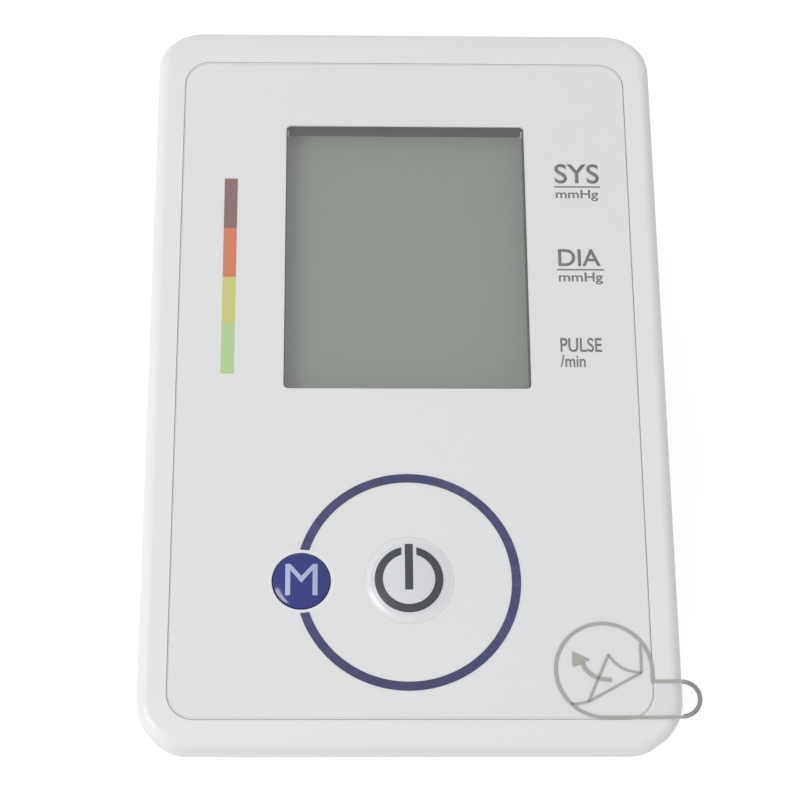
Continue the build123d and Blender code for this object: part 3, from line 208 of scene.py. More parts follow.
def make_floor():
    """A wide pale sheet under the feet, a little lifted where the camera sees it."""
    half = FLOOR_SIZE / 2
    corners = [(-half, -half, 0), (half, -half, 0), (half, half, 0), (-half, half, 0)]
    mesh = bpy.data.meshes.new("floor")
    mesh.from_pydata(corners, [], [(0, 1, 2, 3)])
    floor = bpy.data.objects.new("floor", mesh)
    bpy.context.scene.collection.objects.link(floor)
    floor.location.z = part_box("rubber_feet")[0].z
    material = bpy.data.materials.new("pale_floor")
    tree = node_tree(material)
    paint = add(tree, "ShaderNodeBsdfPrincipled", Roughness=0.9)
    paint.inputs["Base Color"].default_value = FLOOR_COLOUR
    paint.inputs["Specular IOR Level"].default_value = 0.0
    paint.inputs["Emission Color"].default_value = (1, 1, 1, 1)
    light_path = add(tree, "ShaderNodeLightPath")
    lift = add(tree, "ShaderNodeMath", operation="MULTIPLY")
    lift.inputs[1].default_value = FLOOR_LIFT
    tree.links.new(light_path.outputs["Is Camera Ray"], lift.inputs[0])
    tree.links.new(lift.outputs[0], paint.inputs["Emission Strength"])
    output = add(tree, "ShaderNodeOutputMaterial")
    tree.links.new(paint.outputs[0], output.inputs["Surface"])
    mesh.materials.append(material)
    return floor


floor = make_floor()
print("floor at", round(floor.location.z / MM, 2), "mm, under the feet")

# %% [markdown]
# ## Effects that several finishes share
#
# Moulded plastic is never a flat colour. The steel mould was spark-eroded, so the skin has
# a fine grain, and the colour and gloss drift a little over a large face. Each effect is a
# node group, built once, so that every material can set its own strength.

# %% Group helper


def make_group(name, inputs, outputs):
    """An empty shader node group with named sockets, and its two end nodes."""
    tree = bpy.data.node_groups.new(name, "ShaderNodeTree")
    for socket, kind, value in inputs:
        made = tree.interface.new_socket(socket, in_out="INPUT", socket_type=kind)
        made.default_value = value
    for socket, kind in outputs:
        tree.interface.new_socket(socket, in_out="OUTPUT", socket_type=kind)
    return tree, add(tree, "NodeGroupInput"), add(tree, "NodeGroupOutput")


FLOAT = "NodeSocketFloat"
COLOUR = "NodeSocketColor"
VECTOR = "NodeSocketVector"

# %% Grain of a mould
GRAIN_SCALE = 2200.0
GRAIN_DEPTH = 0.00001
GRAIN_STRENGTH = 0.35


def make_mould_grain():
    """Fine pits and bumps, as a normal: Scale per metre, Depth in metres."""
    tree, given, result = make_group(
        "mould_grain",
        [("Scale", FLOAT, GRAIN_SCALE), ("Depth", FLOAT, GRAIN_DEPTH),
         ("Strength", FLOAT, GRAIN_STRENGTH)],
        [("Normal", VECTOR)])
    place = add(tree, "ShaderNodeTexCoord")
    noise = add(tree, "ShaderNodeTexNoise", Detail=3.0, Roughness=0.55)
    bump = add(tree, "ShaderNodeBump")
    tree.links.new(place.outputs["Object"], noise.inputs["Vector"])
    tree.links.new(given.outputs["Scale"], noise.inputs["Scale"])
    tree.links.new(noise.outputs["Fac"], bump.inputs["Height"])
    tree.links.new(given.outputs["Depth"], bump.inputs["Distance"])
    tree.links.new(given.outputs["Strength"], bump.inputs["Strength"])
    tree.links.new(bump.outputs["Normal"], result.inputs["Normal"])
    return tree


MOULD_GRAIN = make_mould_grain()

# %% Drift of colour and gloss
DRIFT_SCALE = 30.0
WANDER = 0.08


def make_drift():
    """A slow wander of colour between two shades, and of roughness about its value."""
    tree, given, result = make_group(
        "slow_drift",
        [("Colour", COLOUR, (0.8, 0.8, 0.8, 1)), ("Shade", COLOUR, (0.7, 0.7, 0.7, 1)),
         ("Roughness", FLOAT, 0.4), ("Wander", FLOAT, WANDER), ("Scale", FLOAT, DRIFT_SCALE)],
        [("Colour", COLOUR), ("Roughness", FLOAT)])
    place = add(tree, "ShaderNodeTexCoord")
    noise = add(tree, "ShaderNodeTexNoise", Detail=2.0, Roughness=0.5)
    mix = add(tree, "ShaderNodeMix", data_type="RGBA")
    centre = add(tree, "ShaderNodeMath", operation="SUBTRACT")
    centre.inputs[1].default_value = 0.5
    spread = add(tree, "ShaderNodeMath", operation="MULTIPLY_ADD")
    tree.links.new(place.outputs["Object"], noise.inputs["Vector"])
    tree.links.new(given.outputs["Scale"], noise.inputs["Scale"])
    tree.links.new(noise.outputs["Fac"], mix.inputs["Factor"])
    tree.links.new(given.outputs["Colour"], mix.inputs["A"])
    tree.links.new(given.outputs["Shade"], mix.inputs["B"])
    tree.links.new(noise.outputs["Fac"], centre.inputs[0])
    tree.links.new(centre.outputs[0], spread.inputs[0])
    tree.links.new(given.outputs["Wander"], spread.inputs[1])
    tree.links.new(given.outputs["Roughness"], spread.inputs[2])
    tree.links.new(mix.outputs["Result"], result.inputs["Colour"])
    tree.links.new(spread.outputs[0], result.inputs["Roughness"])
    return tree


SLOW_DRIFT = make_drift()
print("groups:", [g.name for g in bpy.data.node_groups])

# %% [markdown]
# ## Moulded plastic
#
# Most pieces are plastic, and differ only in colour, gloss and grain. One short function
# makes them all: a Principled shader whose colour and roughness wander a little and whose
# normal carries the grain.

# %% Plastic


def place_group(tree, group, **values):
    """A node group placed in a material with its own values."""
    node = add(tree, "ShaderNodeGroup")
    node.node_tree = group
    for key, value in values.items():
        node.inputs[key].default_value = value
    return node


def rgba(colour, level=1.0):
    """An RGBA value from three numbers, made lighter or darker by a level."""
    return (*(c * level for c in colour), 1)


def plastic(name, colour, roughness, scale=GRAIN_SCALE, depth=GRAIN_DEPTH, shade=0.95,
            **sockets):
    """A plastic finish; shade is its second colour, or that colour's share of the first."""
    material = bpy.data.materials.new(name)
    tree = node_tree(material)
    other = rgba(shade) if isinstance(shade, tuple) else rgba(colour, shade)
    drift = place_group(tree, SLOW_DRIFT, Colour=rgba(colour), Shade=other,
                        Roughness=roughness)
    grain = place_group(tree, MOULD_GRAIN, Scale=scale, Depth=depth)
    shader = add(tree, "ShaderNodeBsdfPrincipled")
    for socket, value in sockets.items():
        shader.inputs[socket.replace("_", " ")].default_value = value
    tree.links.new(drift.outputs["Colour"], shader.inputs["Base Color"])
    tree.links.new(drift.outputs["Roughness"], shader.inputs["Roughness"])
    tree.links.new(grain.outputs["Normal"], shader.inputs["Normal"])
    output = add(tree, "ShaderNodeOutputMaterial")
    tree.links.new(shader.outputs[0], output.inputs["Surface"])
    return material


FINISH = {
    "white_casing": plastic("white_casing", (0.80, 0.795, 0.80), 0.36, shade=(0.78, 0.79, 0.80)),
    "overlay_white": plastic("overlay_white", (0.83, 0.815, 0.81), 0.30, scale=900.0,
                             depth=0.000004, shade=(0.79, 0.81, 0.83)),
    # The power key's white and its rise's white are darker than the sheet's: painted shade on the
    # dome.
    "white_key": plastic("white_key", (0.70, 0.71, 0.73), 0.18, scale=900.0,
                         depth=0.000004, shade=(0.69, 0.70, 0.72)),
    # painted shade: this near-black finish darkens the window's well
    "well_painted_shade": plastic("well_painted_shade", (0.008, 0.010, 0.010), 0.6),
    "skirt_white_painted_shade": plastic("skirt_white_painted_shade", (0.75, 0.755, 0.77), 0.24, scale=900.0,
                           depth=0.000004, shade=(0.74, 0.75, 0.76)),
    "blue_key": plastic("blue_key", (0.022, 0.030, 0.21), 0.13, scale=300.0,
                        depth=0.000004, Coat_Weight=0.4, Coat_Roughness=0.05),
    "switch_black": plastic("switch_black", (0.03, 0.03, 0.032), 0.42),
    "plunger_ivory": plastic("plunger_ivory", (0.72, 0.66, 0.50), 0.4),
    "display_glass": plastic("display_glass", (0.300, 0.330, 0.295), 0.16, scale=60.0,
                             depth=0.000002, shade=0.97),
    "holder_grey": plastic("holder_grey", (0.16, 0.165, 0.165), 0.5),
    "zebra_pink": plastic("zebra_pink", (0.62, 0.35, 0.36), 0.55),
    "board_green": plastic("board_green", (0.02, 0.16, 0.06), 0.3),
    "screw_steel": plastic("screw_steel", (0.55, 0.55, 0.56), 0.3, Metallic=1.0),
    "chip_black": plastic("chip_black", (0.025, 0.025, 0.027), 0.45),
    "capacitor_can": plastic("capacitor_can", (0.05, 0.06, 0.16), 0.32),
    "buzzer_black": plastic("buzzer_black", (0.02, 0.02, 0.02), 0.4),
    "sensor_grey": plastic("sensor_grey", (0.25, 0.26, 0.27), 0.5),
    "motor_steel": plastic("motor_steel", (0.62, 0.62, 0.61), 0.28, Metallic=1.0),
    "pump_black": plastic("pump_black", (0.035, 0.035, 0.037), 0.4),
    "cushion_rubber": plastic("cushion_rubber", (0.05, 0.05, 0.05), 0.75),
    "strap_steel": plastic("strap_steel", (0.60, 0.59, 0.56), 0.34, Metallic=1.0),
    "valve_body": plastic("valve_body", (0.10, 0.12, 0.15), 0.45),
    "fitting_white": plastic("fitting_white", (0.72, 0.72, 0.70), 0.4),
    "silicone_tube": plastic("silicone_tube", (0.75, 0.76, 0.74), 0.35),
    "socket_black": plastic("socket_black", (0.03, 0.03, 0.032), 0.42),
    "seal_rubber": plastic("seal_rubber", (0.04, 0.04, 0.04), 0.7),
    "jack_black": plastic("jack_black", (0.025, 0.025, 0.027), 0.4),
    "cell_sleeve": plastic("cell_sleeve", (0.42, 0.30, 0.12), 0.3),
    "contact_nickel": plastic("contact_nickel", (0.66, 0.63, 0.56), 0.25, Metallic=1.0),
    "foot_rubber": plastic("foot_rubber", (0.10, 0.10, 0.10), 0.8),
    "lead_red": plastic("lead_red", (0.45, 0.03, 0.03), 0.4),
}
print("plastics, rubbers and metals:", len(FINISH))

# %% [markdown]
# ## Clear sheets
#
# The lens and the peel-off film are clear. Glass with transmission would be the other way, but
# it casts shadows on what it covers and needs far more samples. A plain low alpha keeps a
# faint veil and a shine and lets the light through to what is printed below.

# %% Clear


def clear(name, colour, alpha, roughness):
    """A clear plastic sheet: a lone shader with a plain alpha."""
    material = bpy.data.materials.new(name)
    tree = node_tree(material)
    shader = add(tree, "ShaderNodeBsdfPrincipled", Roughness=roughness, Alpha=alpha)
    shader.inputs["Base Color"].default_value = rgba(colour)
    output = add(tree, "ShaderNodeOutputMaterial")
    tree.links.new(shader.outputs[0], output.inputs["Surface"])
    return material


FINISH["clear_lens"] = clear("clear_lens", (0.30, 0.32, 0.30), 0.06, 0.05)
FINISH["clear_film"] = clear("clear_film", (0.80, 0.80, 0.78), 0.07, 0.12)
print("clear sheets:", [name for name in FINISH if name.startswith("clear")])

# %% [markdown]
# ## Crisp edges and true flats
#
# The frame's pieces arrive as triangles, some of them long and thin. If their corners share
# one blurred normal, a flat face seems to buckle. A small geometry tree welds the corners
# and marks each edge that really turns as sharp, and a weighted normal then lets the large
# flat faces decide how their own corners look. The shape itself stays as it is.

# %% Edges
WELD = 0.002
TURNS = 26


def make_true_edges():
    """A geometry tree that welds doubled corners and sharpens the edges that turn."""
    tree = bpy.data.node_groups.new("true_edges", "GeometryNodeTree")
    tree.interface.new_socket("Geometry", in_out="INPUT", socket_type="NodeSocketGeometry")
    tree.interface.new_socket("Geometry", in_out="OUTPUT", socket_type="NodeSocketGeometry")
    given, result = add(tree, "NodeGroupInput"), add(tree, "NodeGroupOutput")
    forget = add(tree, "GeometryNodeRemoveAttribute", Name="custom_normal")
    weld = add(tree, "GeometryNodeMergeByDistance", Distance=WELD * MM)
    smooth = add(tree, "GeometryNodeSetShadeSmooth", domain="FACE")
    crisp = add(tree, "GeometryNodeSetShadeSmooth", domain="EDGE")
    crisp.inputs["Shade Smooth"].default_value = False
    angle = add(tree, "GeometryNodeInputMeshEdgeAngle")
    turns = add(tree, "FunctionNodeCompare", data_type="FLOAT", operation="GREATER_THAN")
    turns.inputs["B"].default_value = radians(TURNS)
    tree.links.new(given.outputs[0], forget.inputs["Geometry"])
    tree.links.new(forget.outputs[0], weld.inputs["Geometry"])
    tree.links.new(weld.outputs[0], smooth.inputs["Geometry"])
    tree.links.new(smooth.outputs[0], crisp.inputs["Geometry"])
    tree.links.new(angle.outputs["Unsigned Angle"], turns.inputs["A"])
    tree.links.new(turns.outputs[0], crisp.inputs["Selection"])
    tree.links.new(crisp.outputs[0], result.inputs[0])
    return tree


TRUE_EDGES = make_true_edges()

# %% Put the finishes on
for node in NODES.values():
    for slot in node.material_slots:
        slot.material = FINISH[slot.material.name.split(".")[0]]
    node.modifiers.new("true edges", "NODES").node_group = TRUE_EDGES
    shading = node.modifiers.new("true flats", "WEIGHTED_NORMAL")
    shading.keep_sharp = True
print("finishes:", len(FINISH))

# %% [markdown]
# ## Ink
#
# The ring, the bar, the letters and the power symbol are screen-printed. They could be an
# image on the sheet, but an image has a fixed sharpness. Ink has a thickness of a few
# hundredths of a millimetre, so each print is a thin closed mesh that lies on its surface. A
# print is given as rows of points, and a height function lifts it onto the face or onto a
# key's dome.

# %% Ink helpers
INK = 0.03


def settle(piece):
    """Applies every modifier, so that the mesh is final."""
    shown = piece.evaluated_get(bpy.context.evaluated_depsgraph_get())
    mesh = bpy.data.meshes.new_from_object(shown)
    piece.modifiers.clear()
    piece.data = mesh
    return piece


def on_body(name, mesh, material, body="housing"):
    """An object of a mesh that is given in the face's axes, riding with a body."""
    mesh.materials.append(material)
    piece = bpy.data.objects.new(name, mesh)
    bpy.context.scene.collection.objects.link(piece)
    piece.matrix_world = FACE
    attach(piece, body)
    return piece


def face_piece(name, points, faces, material, body="housing"):
    """A piece from points in the face's axes, in millimetres."""
    mesh = bpy.data.meshes.new(name)
    mesh.from_pydata([[c * MM for c in p] for p in points], [], faces)
    return on_body(name, mesh, material, body)


def from_bmesh(name, shape, material, body="housing"):
    """A piece from a bmesh in the face's axes, in metres, which is used up."""
    mesh = bpy.data.meshes.new(name)
    shape.normal_update()
    shape.to_mesh(mesh)
    shape.free()
    return on_body(name, mesh, material, body)


def flat(u, v):
    """The height of the printed sheet."""
    return 0.0


def thin(piece, thickness=INK):
    """Gives a sheet of faces its thickness, downwards from where it lies."""
    solid = piece.modifiers.new("thickness", "SOLIDIFY")
    solid.thickness = thickness * MM
    solid.offset = -1
    return settle(piece)


def print_rows(name, rows, material, body="housing", height=flat, lift=INK):
    """A print from rows of (u, v) points, each row as long as the next."""
    across = len(rows[0])
    points = [(u, v, height(u, v) + lift) for row in rows for u, v in row]
    faces = []
    for i in range(len(rows) - 1):
        for j in range(across - 1):
            a = i * across + j
            faces.append((a, a + across, a + across + 1, a + 1))
    return thin(face_piece(name, points, faces, material, body))


def ink(name, colour, roughness=0.35):
    """Printing ink: thin, a little glossy, with the sheet's grain showing through."""
    return plastic(name, colour, roughness, scale=900.0, depth=0.000003, shade=0.96)


BLUE_INK = ink("blue_ink", (0.008, 0.013, 0.14))
GREY_INK = ink("grey_ink", (0.062, 0.066, 0.080))
LEGEND_INK = ink("legend_ink", (0.12, 0.12, 0.125))
print("inks:", [m.name for m in (BLUE_INK, GREY_INK, LEGEND_INK)])

# %% [markdown]
# ## The peel-off film
#
# The film that protects the face on its way to the user is a sheet a tenth of a millimetre
# thick. It lies on the printed sheet but doesn't touch it everywhere, so its mesh is lifted by
# a few hundredths, which also keeps the light from being caught between two touching faces.
# Its tab, past the housing's side, curls up a little.

# %% Film
FILM_LIFT = 0.06
FILM_THICKNESS = 0.10
CURL_START = 44
CURL_END = 54
CURL = 0.006
FACES_UP = 0.5


def film_top(u, v):
    """The height of the film's top, which rises along the curled tab."""
    return FILM_LIFT + FILM_THICKNESS + CURL * max(0.0, u - CURL_START)**2


def cut(shape, place, normal):
    """Cuts every face of a bmesh that a plane goes through."""
    geometry = list(shape.verts) + list(shape.edges) + list(shape.faces)
    bmesh.ops.bisect_plane(shape, geom=geometry, plane_co=place, plane_no=normal)


def make_film():
    """The film's outline from the frame, lifted off the sheet, with a tab that curls."""
    source = NODES["protective_film"]
    film = bmesh.new()
    film.from_mesh(source.data)
    film.transform(FACE.inverted() @ source.matrix_world)
    bmesh.ops.remove_doubles(film, verts=film.verts, dist=WELD * MM)
    middle = sum(v.co.z for v in film.verts) / len(film.verts)
    sides = [f for f in film.faces
             if abs(f.normal.z) < FACES_UP or f.calc_center_median().z < middle]
    bmesh.ops.delete(film, geom=sides, context="FACES")
    loose = [v for v in film.verts if not v.link_faces]
    bmesh.ops.delete(film, geom=loose, context="VERTS")
    for across in range(CURL_START, CURL_END):
        cut(film, (across * MM, 0, 0), (1, 0, 0))
    for v in film.verts:
        v.co.z = film_top(v.co.x / MM, v.co.y / MM) * MM
    return thin(from_bmesh("peel_film", film, FINISH["clear_film"]), FILM_THICKNESS)


film = make_film()
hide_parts("protective_film")
print("film of", len(film.data.polygons), "faces")

# %% [markdown]
# ## The window's well, in painted shade
#
# The walls between the window and the display glass lie in the shade, and that shade is
# painted: the walls belong to the white cover, and a second finish on some of its faces would
# follow its triangles, so the painted shade is a thin near-black frame of its own that stands
# before them.

# %% Window well
WINDOW_MIDDLE = 23.7
WINDOW_HALF_WIDTH = 24.0
WINDOW_HALF_LENGTH = 28.7
WELL_TOP = -0.32
WELL_BOTTOM = -4.15
WELL_STRIP = 0.12


def make_well():
    """A thin near-black frame down the inside of the window, closed all round: painted shade."""
    points = []
    for inset in (0, WELL_STRIP):
        half_width, half_length = WINDOW_HALF_WIDTH - inset, WINDOW_HALF_LENGTH - inset
        for w in (WELL_TOP, WELL_BOTTOM):
            for a, b in ((-1, -1), (1, -1), (1, 1), (-1, 1)):
                points.append((a * half_width, WINDOW_MIDDLE + b * half_length, w))
    faces = []
    for i in range(4):
        j = (i + 1) % 4
        faces += [(i + 4, j + 4, j, i), (i + 8, j + 8, j + 12, i + 12),
                  (i, j, j + 8, i + 8), (i + 4, i + 12, j + 12, j + 4)]
    return face_piece("window_well", points, faces, FINISH["well_painted_shade"])


well = make_well()
print("well of", len(well.data.polygons), "faces")

# %% [markdown]
# ## The blue ring
#
# The ring runs round the power key and stops short of the memory key. Its ends are cut by a
# circle round that key, so the angle where each radius stops follows from the triangle of
# the two centres.

# %% Ring
RING_CENTRE = (-0.24, -43.7)
RING_OUTER = 21.12
RING_INNER = 19.40
RING_CUT = 6.2
MEMORY = (-20.2, -43.85)


def ring_rows(centre, radii, towards, cut_radius, steps=220):
    """Rows of an open ring, one row per radius, cut by a circle round another centre."""
    du, dv = towards[0] - centre[0], towards[1] - centre[1]
    reach = hypot(du, dv)
    middle = atan2(dv, du)
    rows = []
    for radius in radii:
        half_gap = acos((radius**2 + reach**2 - cut_radius**2) / (2 * radius * reach))
        sweep = 2 * (pi - half_gap)
        angles = [middle + half_gap + sweep * i / steps for i in range(steps + 1)]
        rows.append([(centre[0] + radius * cos(a), centre[1] + radius * sin(a)) for a in angles])
    return rows


ring = print_rows("blue_ring", ring_rows(RING_CENTRE, (RING_OUTER, RING_INNER), MEMORY, RING_CUT),
                  BLUE_INK)
print("ring of", len(ring.data.vertices), "points")

# %% [markdown]
# ## The power symbol
#
# It is printed on a domed key, so every point is lifted to the dome: a cap of a sphere with
# the key's radius and crown. In the photograph no gap shows round the key, because the sheet
# rises to it. That rise is a soft ring with the key's slope at its inner edge and none at its
# outer edge.

# %% Power symbol
POWER = (-0.1, -43.65)
POWER_RADIUS = 7.5
POWER_CROWN = 1.1
KEY_STEP = 0.25
SYMBOL_OUTER = 6.40
SYMBOL_INNER = 4.89
SYMBOL_GAP = 1.42
BAR_WIDTH = 1.5
BAR_TOP = 7.0
BAR_BOTTOM = -2.2


def dome(centre, radius, crown):
    """The height function of a domed key."""
    ball = (radius**2 + crown**2) / (2 * crown)

    def height(u, v):
        reach = min(hypot(u - centre[0], v - centre[1]), radius)
        return KEY_STEP + crown - ball + sqrt(ball**2 - reach**2)

    return height


power_dome = dome(POWER, POWER_RADIUS, POWER_CROWN)


def power_ring_rows(radii, steps=120):
    """Rows of the symbol's ring, open at the top by a gap of constant width."""
    rows = []
    for radius in radii:
        half_gap = atan2(SYMBOL_GAP, sqrt(radius**2 - SYMBOL_GAP**2))
        sweep = 2 * (pi - half_gap)
        angles = [pi / 2 + half_gap + sweep * i / steps for i in range(steps + 1)]
        rows.append([(POWER[0] + radius * cos(a), POWER[1] + radius * sin(a)) for a in angles])
    return rows


def bar_rows(left, right, bottom, top, cuts=12):
    """Rows of an upright bar, cut finely enough to bend over a dome."""
    rows = []
    for u in (left, (left + right) / 2, right):
        rows.append([(u, bottom + (top - bottom) * i / cuts) for i in range(cuts + 1)])
    return rows


# %% Rise of the sheet to the power key
# The rise's darker white is painted shade on its slopes.
SKIRT_INNER = 6.95
SKIRT_OUTER = 8.5
SKIRT_THICKNESS = 0.02


def make_key_skirt(rings=10, around=96):
    """The sheet's soft rise to the key, a cubic that joins the key's slope to the flat."""
    ball = (POWER_RADIUS**2 + POWER_CROWN**2) / (2 * POWER_CROWN)
    start = power_dome(POWER[0] + SKIRT_INNER, POWER[1]) + SKIRT_THICKNESS
    slope = -SKIRT_INNER / sqrt(ball**2 - SKIRT_INNER**2) * (SKIRT_OUTER - SKIRT_INNER)
    points = []
    for i in range(rings + 1):
        t = i / rings
        radius = SKIRT_INNER + (SKIRT_OUTER - SKIRT_INNER) * t
        height = start * (2 * t**3 - 3 * t**2 + 1) + slope * (t**3 - 2 * t**2 + t)
        for k in range(around):
            angle = 2 * pi * k / around
            points.append((POWER[0] + radius * cos(angle), POWER[1] + radius * sin(angle), height))
    faces = []
    for i in range(rings):
        for k in range(around):
            a, b = i * around + k, i * around + (k + 1) % around
            faces.append((a, a + around, b + around, b))
    skirt = face_piece("power_key_skirt", points, faces, FINISH["skirt_white_painted_shade"])
    for face in skirt.data.polygons:
        face.use_smooth = True
    return thin(skirt, SKIRT_THICKNESS)


skirt = make_key_skirt()
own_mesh(skirt)
print("rise of", len(skirt.data.polygons), "faces, which flattens as the key goes in")

# %% Print on the power key
radii = [SYMBOL_OUTER + (SYMBOL_INNER - SYMBOL_OUTER) * i / 3 for i in range(4)]
print_rows("power_symbol_ring", power_ring_rows(radii), GREY_INK, "power_button", power_dome)
bar = bar_rows(POWER[0] - BAR_WIDTH / 2, POWER[0] + BAR_WIDTH / 2,
               POWER[1] + BAR_BOTTOM, POWER[1] + BAR_TOP)
print_rows("power_symbol_bar", bar, GREY_INK, "power_button", power_dome)
print("symbol of radius", SYMBOL_OUTER, "mm on a dome", POWER_CROWN, "mm high")

# %% [markdown]
# ## The colour bar
#
# Four fields beside the display grade a reading from green up to dark red.

# %% Colour bar
SCALE_LEFT = -36.2
SCALE_RIGHT = -33.6
SCALE_FIELDS = [
    ("scale_dark_red", 40.3, 29.3, (0.223, 0.088, 0.088)),
    ("scale_orange", 29.3, 18.6, (0.716, 0.162, 0.045)),
    ("scale_yellow", 18.6, 8.6, (0.624, 0.631, 0.156)),
    ("scale_green", 8.6, -2.0, (0.473, 0.665, 0.275)),
]
for name, top, bottom, colour in SCALE_FIELDS:
    print_rows(name, bar_rows(SCALE_LEFT, SCALE_RIGHT, bottom, top, 2), ink(name, colour))
print("colour bar of", len(SCALE_FIELDS), "fields")

# %% [markdown]
# ## Letters
#
# The legends beside the display and the letter on the memory key are set in a plain
# typeface, stretched to the measured height and width. A letter that lies on a dome is first
# cut into a fine grid, so that its faces can bend. The legends' strokes are made bolder by a
# share of the letters' size.

# %% Letters
BOLD = 0.012
SAME_POINT = 0.0005


def letter_faces(words, bold):
    """The flat faces of some words, as a bmesh, with strokes made bolder by some amount."""
    curve = bpy.data.curves.new("words", "FONT")
    curve.body = words
    curve.offset = bold
    text = bpy.data.objects.new("words", curve)
    bpy.context.scene.collection.objects.link(text)
    shown = text.evaluated_get(bpy.context.evaluated_depsgraph_get())
    mesh = bpy.data.meshes.new_from_object(shown)
    bpy.data.objects.remove(text)
    faces = bmesh.new()
    faces.from_mesh(mesh)
    bmesh.ops.remove_doubles(faces, verts=faces.verts, dist=SAME_POINT)
    return faces


def letters(name, words, box, material, body="housing", height=flat, grid=0, bold=BOLD):
    """Words fitted into a box of the face (left, right, bottom, top) and laid on it as ink."""
    left, right, bottom, top = box
    faces = letter_faces(words, bold)
    us = [v.co.x for v in faces.verts]
    vs = [v.co.y for v in faces.verts]
    for v in faces.verts:
        v.co.x = left + (v.co.x - min(us)) / (max(us) - min(us)) * (right - left)
        v.co.y = bottom + (v.co.y - min(vs)) / (max(vs) - min(vs)) * (top - bottom)
    for i in range(1, grid):
        across = left + (right - left) * i / grid
        along = bottom + (top - bottom) * i / grid
        cut(faces, (across, 0, 0), (1, 0, 0))
        cut(faces, (0, along, 0), (0, 1, 0))
    for v in faces.verts:
        v.co.z = height(v.co.x, v.co.y) + INK
        v.co *= MM
    return thin(from_bmesh(name, faces, material, body))


# %% Letter on the memory key
MEMORY_RADIUS = 5.35
MEMORY_CROWN = 0.9
LETTER_BOX = (-23.15, -17.15, -46.8, -40.7)
LETTER_GRID = 14
LETTER_INK = ink("pale_blue_ink", (0.44, 0.49, 0.72))
memory_dome = dome(MEMORY, MEMORY_RADIUS, MEMORY_CROWN)
letter = letters("memory_letter", "M", LETTER_BOX, LETTER_INK, "memory_button", memory_dome,
                 LETTER_GRID, bold=0.0)
print("letter of", len(letter.data.polygons), "faces")

# %% Legends
LEGENDS = [
    ("legend_sys", "SYS", (30.0, 38.9, 39.6, 44.0)),
    ("legend_sys_unit", "mmHg", (30.1, 38.6, 35.7, 38.2)),
    ("legend_dia", "DIA", (30.1, 38.5, 21.3, 25.0)),
    ("legend_dia_unit", "mmHg", (30.1, 38.8, 17.3, 19.9)),
    ("legend_pulse", "PULSE", (29.9, 38.0, 2.8, 5.8)),
    ("legend_pulse_unit", "/min", (29.8, 34.7, -0.4, 2.2)),
]
for name, words, box in LEGENDS:
    letters(name, words, box, LEGEND_INK)
UNDERLINE = 0.3
UNDERLINE_LEFT = 29.8
UNDERLINE_RIGHT = 39.1
for name, v in (("underline_sys", 38.85), ("underline_dia", 20.5)):
    line = bar_rows(UNDERLINE_LEFT, UNDERLINE_RIGHT, v - UNDERLINE / 2, v + UNDERLINE / 2, 2)
    print_rows(name, line, LEGEND_INK)
print("legends:", [words for name, words, box in LEGENDS])

# %% [markdown]
# ## The sheet's edge
#
# The sheet lies in a recess with a hair's breadth of room round it. That gap gathers shade,
# and the shade is painted as a thin grey line that follows the rounded corners.

# %% Sheet edge
# The line's grey is painted shade, laid on the sheet like ink.
EDGE_PAINTED_SHADE = ink("edge_shade", (0.68, 0.68, 0.67), 0.6)
EDGE_CENTRE = -1.6
EDGE_HALF_WIDTH = 44.6
EDGE_HALF_LENGTH = 68.3
EDGE_CORNER = 5.0
EDGE_WIDTH = 0.13
EDGE_LIFT = 0.015


def rounded(half_width, half_length, corner, steps=12):
    """The closed outline of a rounded rectangle round the sheet's middle."""
    points = []
    for a, b, start in ((1, 1, 0), (-1, 1, 90), (-1, -1, 180), (1, -1, 270)):
        centre = (a * (half_width - corner), EDGE_CENTRE + b * (half_length - corner))
        for i in range(steps + 1):
            angle = radians(start + 90 * i / steps)
            points.append((centre[0] + corner * cos(angle), centre[1] + corner * sin(angle)))
    return points + points[:1]


outer = rounded(EDGE_HALF_WIDTH, EDGE_HALF_LENGTH, EDGE_CORNER)
inner = rounded(EDGE_HALF_WIDTH - EDGE_WIDTH, EDGE_HALF_LENGTH - EDGE_WIDTH,
                EDGE_CORNER - EDGE_WIDTH)
print_rows("sheet_edge", [outer, inner], EDGE_PAINTED_SHADE, lift=EDGE_LIFT)
print("edge line", EDGE_WIDTH, "mm wide, of", len(outer), "points")

# %% [markdown]
# ## The pull tab
#
# The film's pull tab is outlined in grey: a circle that opens into a tongue, which hangs
# past the housing's side. The line is darker round the tongue's end, where the film has been
# cut and nothing white lies under it.

# %% Tab helpers
TAB_CENTRE = (35.7, -60.95)
TAB_RADIUS = 8.9
TONGUE_TOP = -63.1
TONGUE_BOTTOM = -69.85
TONGUE_CORNER = 44.6
TONGUE_TIP = 53.2
TAB_STROKE = 0.62
TIP_STROKE = 0.85
TIP_INSET = 0.1
MITRE_LIMIT = 0.35
TAB_INK = ink("tab_ink", (0.42, 0.41, 0.38))
TIP_INK = ink("tip_ink", (0.27, 0.26, 0.28))


def arc(centre, radius, start, end, steps):
    """Points along an arc, in degrees, counter-clockwise from start to end."""
    angles = [radians(start + (end - start) * i / steps) for i in range(steps + 1)]
    return [(centre[0] + radius * cos(a), centre[1] + radius * sin(a)) for a in angles]


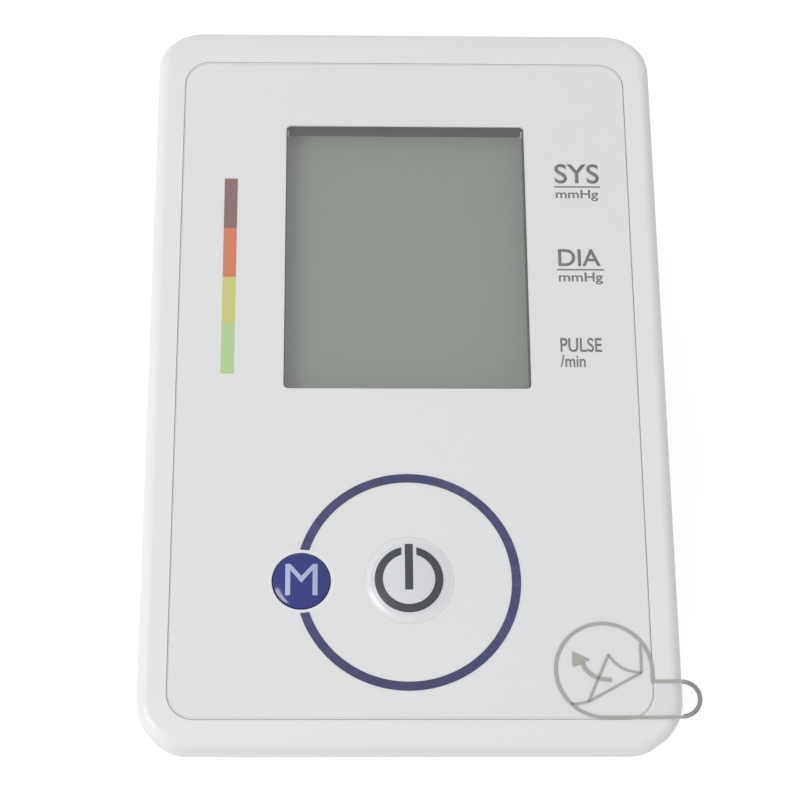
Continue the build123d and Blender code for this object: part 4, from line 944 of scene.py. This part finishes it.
def stroke_rows(points, width, closed=False):
    """Two rows of points at either side of a line, with mitred corners."""
    count = len(points)
    sides = ([], [])
    for i in range(count):
        before = points[(i - 1) % count] if closed or i else None
        after = points[(i + 1) % count] if closed or i < count - 1 else None
        here = Vector(points[i])
        ways = []
        if before is not None:
            ways.append((here - Vector(before)).normalized())
        if after is not None:
            ways.append((Vector(after) - here).normalized())
        mean = sum(ways, Vector((0, 0))).normalized()
        left = Vector((-mean.y, mean.x))
        stretch = 1 / max(MITRE_LIMIT, mean.dot(ways[0]))
        for side, sign in zip(sides, (1, -1)):
            side.append(tuple(here + left * sign * stretch * width / 2))
    if closed:
        for side in sides:
            side.append(side[0])
    return [sides[0], sides[1]]


def tab_line(name, points, width=TAB_STROKE, closed=False, material=TAB_INK):
    """A printed line on the film."""
    return print_rows(name, stroke_rows(points, width, closed), material, height=film_top)


def split(start, end, steps):
    """Points along a straight line, both ends among them."""
    return [(start[0] + (end[0] - start[0]) * i / steps,
             start[1] + (end[1] - start[1]) * i / steps) for i in range(steps + 1)]


# %% Tab outline
tip = (TONGUE_TOP - TONGUE_BOTTOM) / 2
tip_centre = (TONGUE_TIP - tip, (TONGUE_TOP + TONGUE_BOTTOM) / 2)
around = arc(TAB_CENTRE, TAB_RADIUS, 0, 270, 90)
base = split(around[-1], (tip_centre[0], TONGUE_BOTTOM), 16)[1:]
nose = arc(tip_centre, tip, -90, 90, 24)[1:]
back = split(nose[-1], (TONGUE_CORNER, TONGUE_TOP), 6)[1:]
tab_line("tab_outline", around + base + nose + back, closed=True)
tip_line = arc(tip_centre, tip - TIP_INSET, -88, 88, 24)
tab_line("tab_tip", tip_line, TIP_STROKE, material=TIP_INK)
print("tab outline to", TONGUE_TIP, "mm right of the middle")

# %% [markdown]
# ## The peeling sign
#
# Inside the circle a generic sign shows what to do: a sheet's corner that is turned back, and
# an arrow the way that it goes. The tongue stays bare.

# %% Peeling sign
SIGN_STROKE = 0.42
ARROW_STROKE = 0.75
SHEET_RIGHT = 42.6
FOLD_HIGH = (42.6, -61.4)
FOLD_LOW = (32.6, -66.9)
CORNER_TIP = (36.6, -58.0)


def bent(start, pull, end, steps=12):
    """Points of a curve from start to end, pulled towards a third point."""
    points = []
    for i in range(steps + 1):
        t = i / steps
        points.append(tuple((1 - t)**2 * a + 2 * t * (1 - t) * b + t**2 * c
                            for a, b, c in zip(start, pull, end)))
    return points


tab_line("sign_side", split((SHEET_RIGHT, -56.0), FOLD_HIGH, 3), SIGN_STROKE)
tab_line("sign_fold", split(FOLD_HIGH, FOLD_LOW, 6), SIGN_STROKE)
tab_line("sign_foot", bent(FOLD_LOW, (30.6, -67.4), (29.4, -67.3), 4), SIGN_STROKE)
tab_line("sign_flap", split(FOLD_LOW, CORNER_TIP, 6), SIGN_STROKE)
tab_line("sign_curl", bent(CORNER_TIP, (38.6, -61.4), FOLD_HIGH), SIGN_STROKE)
tab_line("sign_arrow", bent((37.0, -62.8), (32.8, -62.7), (31.8, -59.7)), ARROW_STROKE)
print_rows("sign_arrow_head", [[(30.0, -60.4), (29.9, -58.9), (30.0, -57.4)],
                               [(33.2, -59.0), (31.8, -58.3), (30.0, -57.4)]], TAB_INK,
           height=film_top)
print("sign of seven strokes and shapes in a circle", 2 * TAB_RADIUS, "mm wide")

# %% [markdown]
# ## View transform
#
# The view transform is set to Standard, so that a colour renders as it is written.

# %% Finish
bpy.context.scene.view_settings.view_transform = "Standard"
